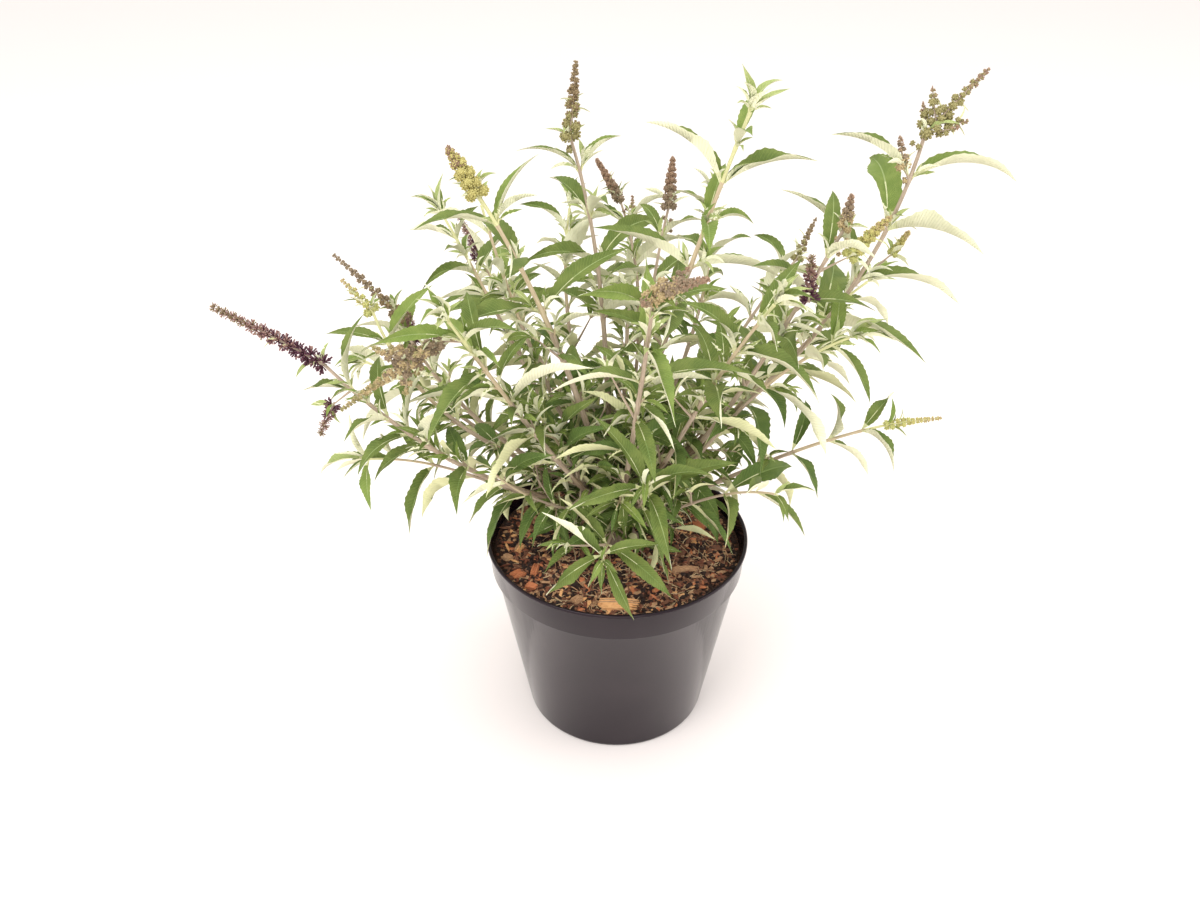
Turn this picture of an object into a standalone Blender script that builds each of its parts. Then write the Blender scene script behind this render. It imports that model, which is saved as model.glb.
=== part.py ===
"""Potted butterfly bush: a young, many-stemmed shrub in a round nursery pot.

The origin is the centre of the pot's flat underside, with +Z up. Sizes are in
millimetres and turned into metres by MM. Each long shoot is a bare limb, which
stands on the knuckle of the short trunk, and a leafy mass that carries on from
the limb's tip. Each low shoot is a leafy mass that stands on the knuckle itself.
"""
import math
import random
from dataclasses import dataclass
from itertools import combinations

import bmesh
import bpy
from mathutils import Matrix, Vector
from mathutils.bvhtree import BVHTree

MM = 0.001
SEED = 41
GAP = 0.3                    # air between two pieces that touch
MERGE = 0.00001              # corners closer than this are one
SMOOTH_ANGLE = 38.0

# Pot
POT_HEIGHT = 150.0
POT_RIM_RADIUS = 95.0
POT_FOOT_RADIUS = 67.5
POT_WALL = 1.5
POT_FLOOR = 2.0
COLLAR_HEIGHT = 22.9
COLLAR_STEP = 2.5            # how far the smooth collar stands out of the body
COLLAR_TAPER = 1.6           # how much the collar narrows from its lip to its foot
COLLAR_FOOT = POT_HEIGHT - COLLAR_HEIGHT
LIP_HEIGHT = 2.6
LIP_ROLL = 1.2
LIP_EASE = 0.6               # how far the lip's inner corner is eased
LIP_ROUND = (0.4, 0.8)       # how far its outer corner is eased, across and down
LIP_DRAFT = 0.2
MOUTH_DROP = 1.0             # from the rim down to where the wall's inner face starts
FOOT_ROUND = (0.8, 1.5)
INNER_RIM = POT_RIM_RADIUS - LIP_ROLL - POT_WALL
BODY_TOP = POT_RIM_RADIUS - LIP_ROLL - COLLAR_STEP - COLLAR_TAPER
POT_SIDES = 40
DRAIN_COUNT = 4
DRAIN_RADIUS = 5.0
DRAIN_RING = 48.0
DRAIN_SIDES = 8

# Compost
SOIL_LEVEL = 140.0
SOIL_EDGE_FALL = 2.0
SOIL_FLAT_RADIUS = 30.0
SOIL_SHOULDER = (8.0, 0.8)   # where the surface starts to fall to its edge, in and up

# Trunk
TRUNK_FOOT = (4.0, 3.0)      # where the trunk leaves the compost
KNUCKLE = (2.0, 8.0)         # where its leaning top stands
KNUCKLE_RISE = 20.0
KNUCKLE_RADIUS = 12.0
KNUCKLE_ANGLES = (70, 50, 30, 10, -10, -30)
TRUNK_NECK = 8.5
NECK_RISE = (9.0, 5.0)       # the heights between which the neck runs
NECK_SWELL = 1.2
TRUNK_FLARE = 15.0
TRUNK_SIDES = 14
LOWEST_SEAT = -0.12          # sine of the lowest angle at which a shoot leaves the knuckle
SEAT_MARGIN = 0.1
SEAT_ROUNDS = 400
SEAT_PUSH = 0.4              # share of an overlap that each round takes away

# Shoots
FIRST_REACH = 0.22           # share of a shoot's length that follows its seat's direction
BEND_AT = 0.6                # share along the chord where lift and sway act
TIP_TAPER = 0.42
PATH_STEPS = 24              # straight stretches by which a path's length is measured
LIMB_STEP = 26.0             # length of one straight stretch of a limb
TWIG_STEP = 24.0
LOWEST_PAIR = 0.2            # the first pair's lowest place on a shoot
TIP_SHARE = 0.965            # the last pair's place on a shoot

# Leaves
LEAF_WIDTH = 0.25
LEAF_THICKNESS = 0.014
LEAF_WIDEST = 0.42
LEAF_FOLD = 0.26             # how far the edges stand above the midrib, in widths
ROOT_SINK = 0.55             # how far a root passes the twig's middle, in twig radii
SPREAD_LOW = 78.0
LARGEST_AT = 0.45            # the level at which a shoot's leaves are largest
SIZE_FALL = 0.32             # how much smaller they are at its top
TIP_PAIR = (0.42, 24.0)      # the tip pair's size, as a share of a leaf, and its spread
FALL_PULL = 0.8              # how much a leaf bends towards the ground
STEM_PULL = 0.6              # how much it bends back along its stem
TURN_SWING = 12.0
SPREAD_SWING = 8.0
SIZE_RANGE = (0.88, 1.08)
TESTED_SHARES = (0.4, 0.7, 1.0)
ABOVE_SOIL = 4.0
DROOP_RANGE = (14.0, 44.0)
TILT_RANGE = (-24.0, 24.0)
CLEARANCE = 0.45
OUTER_FROM = 0.22            # a leaf is tested against its own mass from this share on

# Side shoots
SIDE_LENGTH = (20.0, 34.0)
SIDE_SPREAD = 48.0
SIDE_SAG = -0.05
SIDE_PAIR = 1.5              # the place of a side shoot, counted in pairs
SIDE_TURN = 130.0
SIDE_LEAF = 0.4
SIDE_LEAF_AT = 0.97
SIDE_LEAF_SPREAD = 34.0
SIDE_RADIUS = 0.75
SIDE_FOOT = 0.6              # a side shoot's foot, as a share of an even taper's
SMALLEST_LEAF = 13.0

# Flower heads
HEAD_CORE = 0.5              # the stalk between two whorls, as a share of the head's girth
WHORL_STEP = 9.5
HEAD_TAPER = 0.55            # how much the last whorl is slimmer than the first
WHORL_PLACES = (0.45, 0.9)   # a whorl's middle and the stalk above it, in whorl steps
HEAD_POINT = 0.12
HEAD_SINK = 1.5
HEAD_SAG = 0.06
SIDE_HEAD_SHARE = 0.3
SIDE_HEAD_GIRTH = 0.75
SIDE_HEAD_STALK = 0.7
SIDE_HEAD_LEAN = 0.75
SIDE_HEAD_FIRST = 0.06
SIDE_HEAD_STEP = 0.1
SIDE_HEAD_TURN = 30.0
FORK_STEM = 0.8              # a fork's foot, as a share of the stem that it leaves
FORK_SAG = 0.05

# How a leaf moves when its first place is taken: turn, spread and size
TRIES = ((0.0, 0.0, 1.0), (20.0, -8.0, 1.0), (-20.0, -8.0, 1.0), (38.0, 6.0, 0.92),
         (-38.0, -16.0, 0.88), (55.0, -20.0, 0.8), (-60.0, 10.0, 0.7))


@dataclass(frozen=True)
class Head:
    """A flower head: its length, the way it points, its girth and its side heads."""

    length: float
    azimuth: float
    elevation: float
    girth: float = 3.2
    sides: int = 0


@dataclass(frozen=True)
class Shoot:
    """One shoot from the knuckle: where its tip stands, its bend and what grows on it."""

    name: str
    radius: float
    azimuth: float
    reach: float
    rise: float
    lift: float
    sway: float
    bare: float
    pairs: int
    leaf: float
    turn: float = 0.0
    head: Head = None
    forks: tuple = ()        # side heads: (share, azimuth, elevation, length, Head)
    crowd: float = 1.2       # how much the pairs crowd towards the tip
    open_tip: float = 46.0   # angle between the stem and its last leaves


SHOOTS = (
    Shoot("front_tall", 2.3, -83, 126, 252, 0.05, 0.02, 0.36, 5, 66, 0, Head(64, -66, 32, 6.0, 2)),
    Shoot("left_high", 2.7, -173, 86, 266, 0.07, 0.03, 0.38, 5, 66, 100, Head(38, -146, 62, 7.2)),
    Shoot("right_tall", 2.4, -23, 77, 320, 0.02, -0.04, 0.38, 7, 64, 20),
    Shoot("right_long", 2.5, 3, 182, 296, -0.13, -0.14, 0.36, 6, 88, 5,
          Head(54, 17, 47, 6.2, 4),
          ((0.74, 20, 38, 34, Head(18, 20, 55, 3.6)),), open_tip=56),
    Shoot("right_heads", 2.3, -17, 135, 256, -0.05, -0.01, 0.38, 5, 60, 30,
          Head(24, -85, 75, 4.8),
          ((0.80, -45, 50, 16, Head(32, -120, 82, 5.6)), (0.9, 5, 30, 20, Head(34, 10, 48, 5.0)))),
    Shoot("left_long", 2.4, -165, 188, 172, -0.02, 0.31, 0.40, 5, 58, 70,
          Head(77, 178, 34, 6.6), ((0.93, -150, -25, 14, Head(20, -160, -60, 4.2)),)),
    Shoot("left_leafy", 2.2, -145, 122, 211, -0.02, -0.02, 0.36, 5, 70, 40, None,
          ((0.93, 178, 2, 14, Head(70, -165, -28, 6.2, 2)),)),
    Shoot("left_green", 2.1, -173, 156, 194, -0.18, 0.16, 0.42, 4, 54, 10, Head(28, 178, 54, 4.8)),
    Shoot("left_brown", 2.1, 165, 158, 166, -0.12, 0.12, 0.40, 4, 58, 80,
          Head(58, 166, 45, 5.4), ((0.86, 130, 50, 12, Head(22, 120, 70, 4.0)),)),
    Shoot("tall_rear", 2.3, 122, 59, 283, 0.0, -0.08, 0.38, 5, 58, 0, Head(49, 20, 85, 7.0)),
    Shoot("rear_bud", 1.9, 61, 69, 233, 0.07, 0.01, 0.38, 4, 54, 70, Head(36, 20, 87, 4.8)),
    Shoot("rear_slim", 1.8, 89, 110, 221, 0.06, -0.14, 0.38, 5, 64, 0, Head(35, 150, 56, 4.2)),
    Shoot("left_slim", 1.9, 153, 101, 240, -0.01, 0.08, 0.0, 6, 56, 35),
    Shoot("left_rear", 2.0, 141, 160, 214, -0.02, -0.02, 0.38, 5, 60, 80),
    Shoot("rear_leafy", 2.1, 105, 134, 208, -0.02, 0.12, 0.38, 5, 56, 0),
    Shoot("right_rear", 2.0, 60, 139, 221, 0.02, -0.14, 0.38, 5, 56, 55),
    Shoot("right_near", 2.1, -43, 117, 226, 0.03, -0.01, 0.38, 5, 60, 25),
    Shoot("right_star", 1.9, -16, 146, 186, 0.13, 0.02, 0.0, 5, 56, 60, crowd=1.8, open_tip=64),
    Shoot("right_low", 2.0, -10, 177, 118, 0.04, 0.03, 0.36, 5, 58, 20, Head(36, -8, 17, 4.2)),
    Shoot("right_back", 2.0, 22, 190, 175, 0.08, 0.0, 0.38, 5, 64, 75),
    Shoot("back_right", 2.1, 47, 205, 160, 0.08, 0.0, 0.38, 5, 64, 15, Head(38, 50, 50, 5.0)),
    Shoot("back_mid", 2.2, 86, 200, 165, 0.08, 0.0, 0.38, 5, 64, 45, Head(30, 90, 55, 4.8)),
    Shoot("back_left", 2.1, 122, 205, 150, 0.08, 0.0, 0.38, 5, 64, 75, Head(40, 125, 45, 5.2)),
    Shoot("left_back", 2.0, 156, 205, 105, 0.08, 0.0, 0.38, 5, 62, 36),
    Shoot("right_skirt", 1.5, -35, 121, 90, 0.10, 0.05, 0.0, 4, 62, 20),
    Shoot("left_low", 1.5, -159, 170, 111, 0.06, -0.12, 0.0, 5, 60, 50),
    Shoot("left_small", 1.3, -143, 101, 100, -0.10, 0.03, 0.0, 4, 40, 10),
    Shoot("front_star", 1.4, -97, 86, 49, 0.04, -0.01, 0.0, 4, 58, 40, crowd=2.6, open_tip=72),
    Shoot("front_fan", 1.4, -78, 77, 100, -0.02, 0.05, 0.0, 5, 66, 0, crowd=2.0, open_tip=62),
    Shoot("centre", 1.5, -70, 42, 165, 0.0, 0.0, 0.0, 7, 58, 30),
    Shoot("centre_left", 1.4, -150, 60, 125, 0.0, 0.0, 0.0, 6, 60, 70),
    Shoot("centre_right", 1.4, 10, 70, 135, 0.0, 0.0, 0.0, 6, 60, 0),
    Shoot("back_low", 1.4, 100, 125, 72, 0.08, 0.0, 0.0, 5, 58, 20),
    Shoot("back_low_right", 1.4, 45, 122, 66, 0.08, 0.0, 0.0, 4, 58, 60),
    Shoot("back_low_left", 1.4, 152, 116, 60, 0.08, 0.0, 0.0, 4, 56, 40),
)


def heading(azimuth, elevation=0.0):
    """A unit vector from two angles in degrees."""
    across, up = math.radians(azimuth), math.radians(elevation)
    return Vector((math.cos(up) * math.cos(across), math.cos(up) * math.sin(across), math.sin(up)))


def square_to(vector, axis):
    """The unit vector nearest to the given one that stands square to an axis."""
    return (vector - vector.project(axis)).normalized()


def knuckle_centre():
    """The middle of the trunk's rounded top."""
    return Vector((*KNUCKLE, SOIL_LEVEL + KNUCKLE_RISE))


def shoot_tip(shoot):
    """The top of a shoot's stem, where its head or its last leaves begin."""
    return heading(shoot.azimuth) * shoot.reach + Vector((0, 0, SOIL_LEVEL + shoot.rise))


def seat_directions():
    """Spread the shoots' feet over the knuckle until no two of them touch."""
    centre = knuckle_centre()
    seats = [(shoot_tip(shoot) - centre).normalized() for shoot in SHOOTS]
    widths = [math.asin((shoot.radius + GAP + SEAT_MARGIN) / (KNUCKLE_RADIUS + GAP)) for shoot in SHOOTS]
    for _ in range(SEAT_ROUNDS):
        for first, second in combinations(range(len(seats)), 2):
            short = widths[first] + widths[second] - seats[first].angle(seats[second])
            if short > 0:
                push = (seats[first] - seats[second]).normalized() * short * SEAT_PUSH
                seats[first] = (seats[first] + push).normalized()
                seats[second] = (seats[second] - push).normalized()
        for seat in seats:
            seat.z = max(seat.z, LOWEST_SEAT)
            seat.normalize()
    return seats


class Path:
    """The curve that a shoot's stem follows, from its foot at 0 to its tip at 1."""

    def __init__(self, start, first, second, end):
        self.points = (start, first, second, end)
        knots = [self.at(k / PATH_STEPS) for k in range(PATH_STEPS + 1)]
        self.length = sum((before - after).length for before, after in zip(knots, knots[1:]))

    def at(self, share):
        """The point at a share of the curve."""
        rest = 1 - share
        a, b, c, d = self.points
        return a * rest ** 3 + b * 3 * share * rest ** 2 + c * 3 * share ** 2 * rest + d * share ** 3

    def along(self, share):
        """The direction in which the curve runs there."""
        rest = 1 - share
        a, b, c, d = self.points
        run = (b - a) * rest ** 2 + (c - b) * 2 * share * rest + (d - c) * share ** 2
        return run.normalized()


def shoot_path(shoot, seat):
    """Run a curve from a shoot's seat, bent by its lift and sway, to its tip."""
    foot = knuckle_centre() + seat * (KNUCKLE_RADIUS + GAP)
    tip = shoot_tip(shoot)
    chord = tip - foot
    sideways = heading(shoot.azimuth + 90)
    above = chord.cross(sideways).normalized()
    if above.z < 0:
        above.negate()
    bend = (above * shoot.lift + sideways * shoot.sway) * chord.length
    return Path(foot, foot + seat * chord.length * FIRST_REACH, foot + chord * BEND_AT + bend, tip)


def straight_path(start, direction, length, sag=0.0):
    """A short side shoot's curve, which may sag along its way."""
    fall = Vector((0, 0, -sag * length))
    return Path(start, start + direction * length / 3, start + direction * length * 2 / 3 + fall / 3,
                start + direction * length + fall)


def material(name, colour, roughness):
    """A plain Principled material."""
    made = bpy.data.materials.new(name)
    made.use_nodes = True
    shader = made.node_tree.nodes["Principled BSDF"]
    shader.inputs["Base Color"].default_value = (*colour, 1.0)
    shader.inputs["Roughness"].default_value = roughness
    made.diffuse_color = (*colour, 1.0)
    return made


def new_collection(name):
    """A collection in the scene."""
    made = bpy.data.collections.new(name)
    bpy.context.scene.collection.children.link(made)
    return made


def add_object(name, mesh, collection, finish=None):
    """Wrap a mesh in an object with one material."""
    made = bpy.data.objects.new(name, mesh)
    collection.objects.link(made)
    if finish:
        mesh.materials.clear()
        mesh.materials.append(finish)
    return made


def evaluated_mesh(source):
    """The mesh that an object shows with its modifiers or bevel."""
    graph = bpy.context.evaluated_depsgraph_get()
    graph.update()
    return bpy.data.meshes.new_from_object(source.evaluated_get(graph))


def remove_object(doomed):
    """Take an object out of the file."""
    bpy.data.objects.remove(doomed, do_unlink=True)


def tube_mesh(points, radii, collection, profile=None, sides_step=1):
    """Sweep a round or a given profile along points, with a radius at each."""
    curve = bpy.data.curves.new("tube", "CURVE")
    curve.dimensions = "3D"
    curve.use_fill_caps = True
    if profile:
        curve.bevel_mode = "OBJECT"
        curve.bevel_object = profile
        unit = 1.0
    else:
        curve.bevel_depth = MM
        curve.bevel_resolution = sides_step
        unit = MM
    spline = curve.splines.new("POLY")
    spline.points.add(len(points) - 1)
    for knot, point, radius in zip(spline.points, points, radii):
        knot.co = (*(point * MM), 1.0)
        knot.radius = radius * MM / unit
    holder = bpy.data.objects.new("tube", curve)
    collection.objects.link(holder)
    mesh = evaluated_mesh(holder)
    remove_object(holder)
    bpy.data.curves.remove(curve)
    shape = bmesh.new()
    shape.from_mesh(mesh)
    bmesh.ops.remove_doubles(shape, verts=shape.verts, dist=MERGE)
    bmesh.ops.recalc_face_normals(shape, faces=shape.faces)
    shape.to_mesh(mesh)
    shape.free()
    return mesh


def triangle_profile(collection):
    """A three-sided outline of unit size for twigs."""
    curve = bpy.data.curves.new("twig_profile", "CURVE")
    curve.dimensions = "2D"
    spline = curve.splines.new("POLY")
    spline.points.add(2)
    spline.use_cyclic_u = True
    for k, knot in enumerate(spline.points):
        knot.co = (*heading(90 + 120 * k)[:2], 0.0, 1.0)
    made = bpy.data.objects.new("twig_profile", curve)
    made.hide_render = True
    made.display_type = "WIRE"
    collection.objects.link(made)
    return made


def stretch(path, start, end, radius, step):
    """Points and tapering radii along part of a path."""
    count = max(2, round(path.length * (end - start) / step) + 1)
    shares = [start + (end - start) * k / (count - 1) for k in range(count)]
    radii = [radius * (1 - (1 - TIP_TAPER) * share) for share in shares]
    return [path.at(share) for share in shares], radii


@dataclass(frozen=True)
class Blade:
    """A leaf's posture: its root, aim, bend towards one side, and sizes."""

    root: Vector
    aim: Vector
    down: Vector
    length: float
    droop: float
    tilt: float

    def spine(self, share):
        """A point on the midrib."""
        bend = math.radians(self.droop)
        turned = bend * share
        forward, fall = math.sin(turned) / bend, (1 - math.cos(turned)) / bend
        return self.root + (self.aim * forward + self.down * fall) * self.length

    def frame(self, share):
        """The directions across the blade and out of its upper face there."""
        turned = math.radians(self.droop) * share
        onward = self.aim * math.cos(turned) + self.down * math.sin(turned)
        upward = self.aim * math.sin(turned) - self.down * math.cos(turned)
        turn = Matrix.Rotation(math.radians(self.tilt), 3, onward)
        return turn @ onward.cross(upward), turn @ upward


def leaf_mesh(blade, start=0.0, swell=0.0):
    """A folded, arching leaf of eight faces: an octahedron drawn out to its outline."""
    across, upward = blade.frame(LEAF_WIDEST)
    middle = blade.spine(LEAF_WIDEST)
    half = blade.length * LEAF_WIDTH / 2 + swell
    lifted = upward * half * 2 * LEAF_FOLD
    root = blade.spine(start)
    tip = blade.spine(1.0)
    onward = (tip - root).normalized()
    places = {
        "-z": root - onward * swell,
        "+z": tip + onward * swell,
        "+x": middle + across * half + lifted,
        "-x": middle - across * half + lifted,
        "+y": middle + upward * swell,
        "-y": middle - upward * (blade.length * LEAF_THICKNESS + swell),
    }
    shape = bmesh.new()
    bmesh.ops.create_uvsphere(shape, u_segments=4, v_segments=2, radius=1.0)
    for vertex in shape.verts:
        axis = max(range(3), key=lambda k: abs(vertex.co[k]))
        sign = "+" if vertex.co[axis] > 0 else "-"
        vertex.co = places[sign + "xyz"[axis]] * MM
    bmesh.ops.recalc_face_normals(shape, faces=shape.faces)
    mesh = bpy.data.meshes.new("leaf")
    shape.to_mesh(mesh)
    shape.free()
    return mesh


class Space:
    """What already stands in the crown, so that nothing grows through it."""

    def __init__(self):
        self.taken = []

    @staticmethod
    def tree(mesh, swell=0.0):
        """A search tree of a mesh, swollen along its normals, with its bounding ball."""
        points = [vertex.co + vertex.normal * swell * MM for vertex in mesh.vertices]
        middle = sum(points, Vector()) / len(points)
        ball = max((point - middle).length for point in points)
        faces = [tuple(face.vertices) for face in mesh.polygons]
        return BVHTree.FromPolygons(points, faces), middle, ball

    def take(self, owner, mesh, inner_mesh=None):
        """Note a shape, and the part of it that its own mass must keep clear of."""
        whole = self.tree(mesh)
        self.taken.append((owner, whole, self.tree(inner_mesh) if inner_mesh else whole))

    def is_clear(self, owner, mesh, own_mesh):
        """Whether a shape clears other owners, and its own part clears its own mass."""
        whole, own = self.tree(mesh), self.tree(own_mesh) if own_mesh else None
        for other, full, outer in self.taken:
            mine, theirs = (own, outer) if other == owner else (whole, full)
            if mine is None or (mine[1] - theirs[1]).length > mine[2] + theirs[2]:
                continue
            if mine[0].overlap(theirs[0]):
                return False
        return True


def above_compost(blade):
    """Whether a leaf stays above the compost and out of the pot's wall."""
    for share in TESTED_SHARES:
        point = blade.spine(share)
        if math.hypot(point.x, point.y) < POT_RIM_RADIUS and point.z < SOIL_LEVEL + ABOVE_SOIL:
            return False
    return True


def place_leaf(owner, space, root, along, radial, length, spread, rng, radius):
    """Find a clear posture for a leaf and give its mesh, or nothing where none fits."""
    droop = rng.uniform(*DROOP_RANGE)
    tilt = rng.uniform(*TILT_RANGE)
    for turn, open_by, size in TRIES:
        side = Matrix.Rotation(math.radians(turn), 3, along) @ radial
        angle = math.radians(spread + open_by)
        aim = along * math.cos(angle) + side * math.sin(angle)
        down = square_to(Vector((0, 0, -FALL_PULL)) - along * STEM_PULL, aim)
        blade = Blade(root - aim * radius * ROOT_SINK, aim, down, length * size, droop, tilt)
        if blade.length < SMALLEST_LEAF or not above_compost(blade):
            continue
        outer = leaf_mesh(blade, OUTER_FROM, CLEARANCE)
        if space.is_clear(owner, leaf_mesh(blade, 0.0, CLEARANCE), outer):
            mesh = leaf_mesh(blade)
            space.take(owner, mesh, leaf_mesh(blade, OUTER_FROM))
            return mesh
    return None


def radial_at(along, azimuth, turn):
    """A direction square to a stem, turned round it from the stem's sideways direction."""
    sideways = square_to(heading(azimuth + 90), along)
    return Matrix.Rotation(math.radians(turn), 3, along) @ sideways


def head_radii(length, girth, stalk):
    """Whorled radii along a flower head, from its stalk to its point."""
    whorls = max(2, round(length / WHORL_STEP))
    shares, radii = [0.0], [stalk]
    for whorl in range(whorls):
        swell = girth * (1 - HEAD_TAPER * whorl / whorls)
        shares += [(whorl + place) / whorls for place in WHORL_PLACES]
        radii += [swell, swell * HEAD_CORE]
    shares.append(1.0)
    radii.append(girth * HEAD_POINT)
    return shares, radii


class Mass:
    """A leafy mass: its stem, side shoots, heads and leaves, joined into one solid."""

    def __init__(self, shoot, path, space, workshop, profile):
        self.shoot, self.path, self.space = shoot, path, space
        self.workshop, self.profile = workshop, profile
        self.rng = random.Random(f"{SEED} {shoot.name}")
        self.pieces = []

    def keep(self, mesh):
        """Add a mesh to the pieces that the mass is joined from."""
        self.pieces.append(add_object(self.shoot.name + "_piece", mesh, self.workshop))

    def stem_radius(self, share):
        """The stem's radius at a share of the whole shoot."""
        return self.shoot.radius * (1 - (1 - TIP_TAPER) * share)

    def grow_stem(self):
        """The stem, from just past the limb's tip or from the knuckle."""
        clear = GAP / self.path.length if self.shoot.bare else 0.0
        points, radii = stretch(self.path, self.shoot.bare + clear, 1.0, self.shoot.radius, TWIG_STEP)
        mesh = tube_mesh(points, radii, self.workshop, self.profile)
        self.space.take(self.shoot.name, mesh)
        self.keep(mesh)

    def grow_head(self, head, start, stalk):
        """A flower head with its side heads in pairs near its foot."""
        aim = heading(head.azimuth, head.elevation)
        shares, radii = head_radii(head.length, head.girth, stalk)
        bow = straight_path(start - aim * HEAD_SINK, aim, head.length + HEAD_SINK, HEAD_SAG)
        mesh = tube_mesh([bow.at(share) for share in shares], radii, self.workshop, None, 0)
        self.space.take(self.shoot.name, mesh)
        self.keep(mesh)
        for k in range(head.sides):
            radial = radial_at(aim, head.azimuth, 180 * k + SIDE_HEAD_TURN * (k // 2))
            way = (aim * SIDE_HEAD_LEAN + radial).normalized()
            root = bow.at(SIDE_HEAD_FIRST + SIDE_HEAD_STEP * (k // 2))
            length = head.length * SIDE_HEAD_SHARE
            side_shares, side_radii = head_radii(length, head.girth * SIDE_HEAD_GIRTH, SIDE_HEAD_STALK)
            points = [root + way * length * share for share in side_shares]
            self.keep(tube_mesh(points, side_radii, self.workshop, None, 0))

    def grow_heads(self):
        """The head at the tip, and those on forks."""
        if self.shoot.head:
            self.grow_head(self.shoot.head, self.path.at(1.0), self.stem_radius(1.0))
        for share, azimuth, elevation, length, head in self.shoot.forks:
            fork = straight_path(self.path.at(share), heading(azimuth, elevation), length, FORK_SAG)
            points, radii = stretch(fork, 0.0, 1.0, self.stem_radius(share) * FORK_STEM, TWIG_STEP)
            mesh = tube_mesh(points, radii, self.workshop, self.profile)
            self.space.take(self.shoot.name, mesh)
            self.keep(mesh)
            self.grow_head(head, fork.at(1.0), radii[-1])

    def grow_pair(self, path, share, radius, length, spread, turn):
        """Two leaves that face each other across a stem."""
        along = path.along(share)
        for side in (0, 180):
            swing = turn + side + self.rng.uniform(-TURN_SWING, TURN_SWING)
            radial = radial_at(along, self.shoot.azimuth, swing)
            size = length * self.rng.uniform(*SIZE_RANGE)
            opened = spread + self.rng.uniform(-SPREAD_SWING, SPREAD_SWING)
            mesh = place_leaf(self.shoot.name, self.space, path.at(share), along, radial,
                              size, opened, self.rng, radius)
            if mesh:
                self.keep(mesh)

    def grow_side_shoot(self, share, turn):
        """A short shoot from a leaf's foot, with a pair of leaves near its tip."""
        along = self.path.along(share)
        radial = radial_at(along, self.shoot.azimuth, turn)
        angle = math.radians(SIDE_SPREAD)
        aim = along * math.cos(angle) + radial * math.sin(angle)
        way = straight_path(self.path.at(share), aim, self.rng.uniform(*SIDE_LENGTH), SIDE_SAG)
        points, radii = stretch(way, 0.0, 1.0, SIDE_RADIUS / TIP_TAPER * SIDE_FOOT, TWIG_STEP)
        mesh = tube_mesh(points, radii, self.workshop, self.profile)
        wide = tube_mesh(points, [radius + CLEARANCE for radius in radii], self.workshop, self.profile)
        if not self.space.is_clear(self.shoot.name, wide, None):
            return
        self.space.take(self.shoot.name, mesh)
        self.keep(mesh)
        self.grow_pair(way, SIDE_LEAF_AT, SIDE_RADIUS, self.shoot.leaf * SIDE_LEAF, SIDE_LEAF_SPREAD, turn)

    def pair_share(self, level):
        """Where on the shoot a pair stands, by its level from 0 to 1."""
        first = max(self.shoot.bare, LOWEST_PAIR)
        return first + (TIP_SHARE - first) * (1 - (1 - level) ** self.shoot.crowd)

    def grow_leaves(self):
        """Opposite pairs, each a quarter turn on from the last, and one side shoot."""
        shoot = self.shoot
        for pair in range(shoot.pairs):
            level = (pair + 0.5) / shoot.pairs
            share = self.pair_share(level)
            size = shoot.leaf * (1 - SIZE_FALL * ((level - LARGEST_AT) / (1 - LARGEST_AT)) ** 2)
            spread = SPREAD_LOW + (shoot.open_tip - SPREAD_LOW) * level
            turn = shoot.turn + 90 * pair
            self.grow_pair(self.path, share, self.stem_radius(share), size, spread, turn)
        if not shoot.head:
            share, spread = TIP_PAIR
            self.grow_pair(self.path, 1.0, self.stem_radius(1.0), shoot.leaf * share, spread,
                           shoot.turn + 90 * shoot.pairs)
        self.grow_side_shoot(self.pair_share(SIDE_PAIR / shoot.pairs), shoot.turn + SIDE_TURN)

    def join(self, collection, finish):
        """Join the pieces by one union and take them away."""
        base, operands = self.pieces[0], new_collection(self.shoot.name + "_pieces")
        for piece in self.pieces[1:]:
            self.workshop.objects.unlink(piece)
            operands.objects.link(piece)
        union = base.modifiers.new("union", "BOOLEAN")
        union.operation = "UNION"
        union.operand_type = "COLLECTION"
        union.collection = operands
        union.solver = "EXACT"
        mesh = evaluated_mesh(base)
        drop_scraps(mesh)
        mesh.name = self.shoot.name
        for piece in self.pieces:
            remove_object(piece)
        bpy.data.collections.remove(operands)
        return add_object("foliage_" + self.shoot.name, mesh, collection, finish)


def drop_scraps(mesh):
    """Keep a mesh's largest body: sealed hollows are filled and loose scraps dropped."""
    shape = bmesh.new()
    shape.from_mesh(mesh)
    shape.faces.ensure_lookup_table()
    bodies, seen = [], set()
    for face in shape.faces:
        if face in seen:
            continue
        seen.add(face)
        body = [face]
        for member in body:
            fresh = {near for edge in member.edges for near in edge.link_faces} - seen
            seen |= fresh
            body.extend(sorted(fresh, key=lambda near: near.index))
        bodies.append(body)
    bodies.sort(key=len)
    scraps = [face for body in bodies[:-1] for face in body]
    bmesh.ops.delete(shape, geom=scraps, context="FACES")
    shape.to_mesh(mesh)
    shape.free()


def turned(name, profile, sides, collection, finish):
    """Turn a profile of (radius, height) pairs, top first, round the Z axis."""
    shape = bmesh.new()
    corners = [shape.verts.new((radius * MM, 0, height * MM)) for radius, height in profile]
    for upper, lower in zip(corners, corners[1:]):
        shape.edges.new((upper, lower))
    mesh = bpy.data.meshes.new(name)
    shape.to_mesh(mesh)
    shape.free()
    made = add_object(name, mesh, collection)
    screw = made.modifiers.new("turn", "SCREW")
    screw.steps = screw.render_steps = sides
    screw.use_merge_vertices = True
    screw.merge_threshold = MERGE
    mesh = evaluated_mesh(made)
    mesh.name = name
    remove_object(made)
    return add_object(name, mesh, collection, finish)


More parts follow.
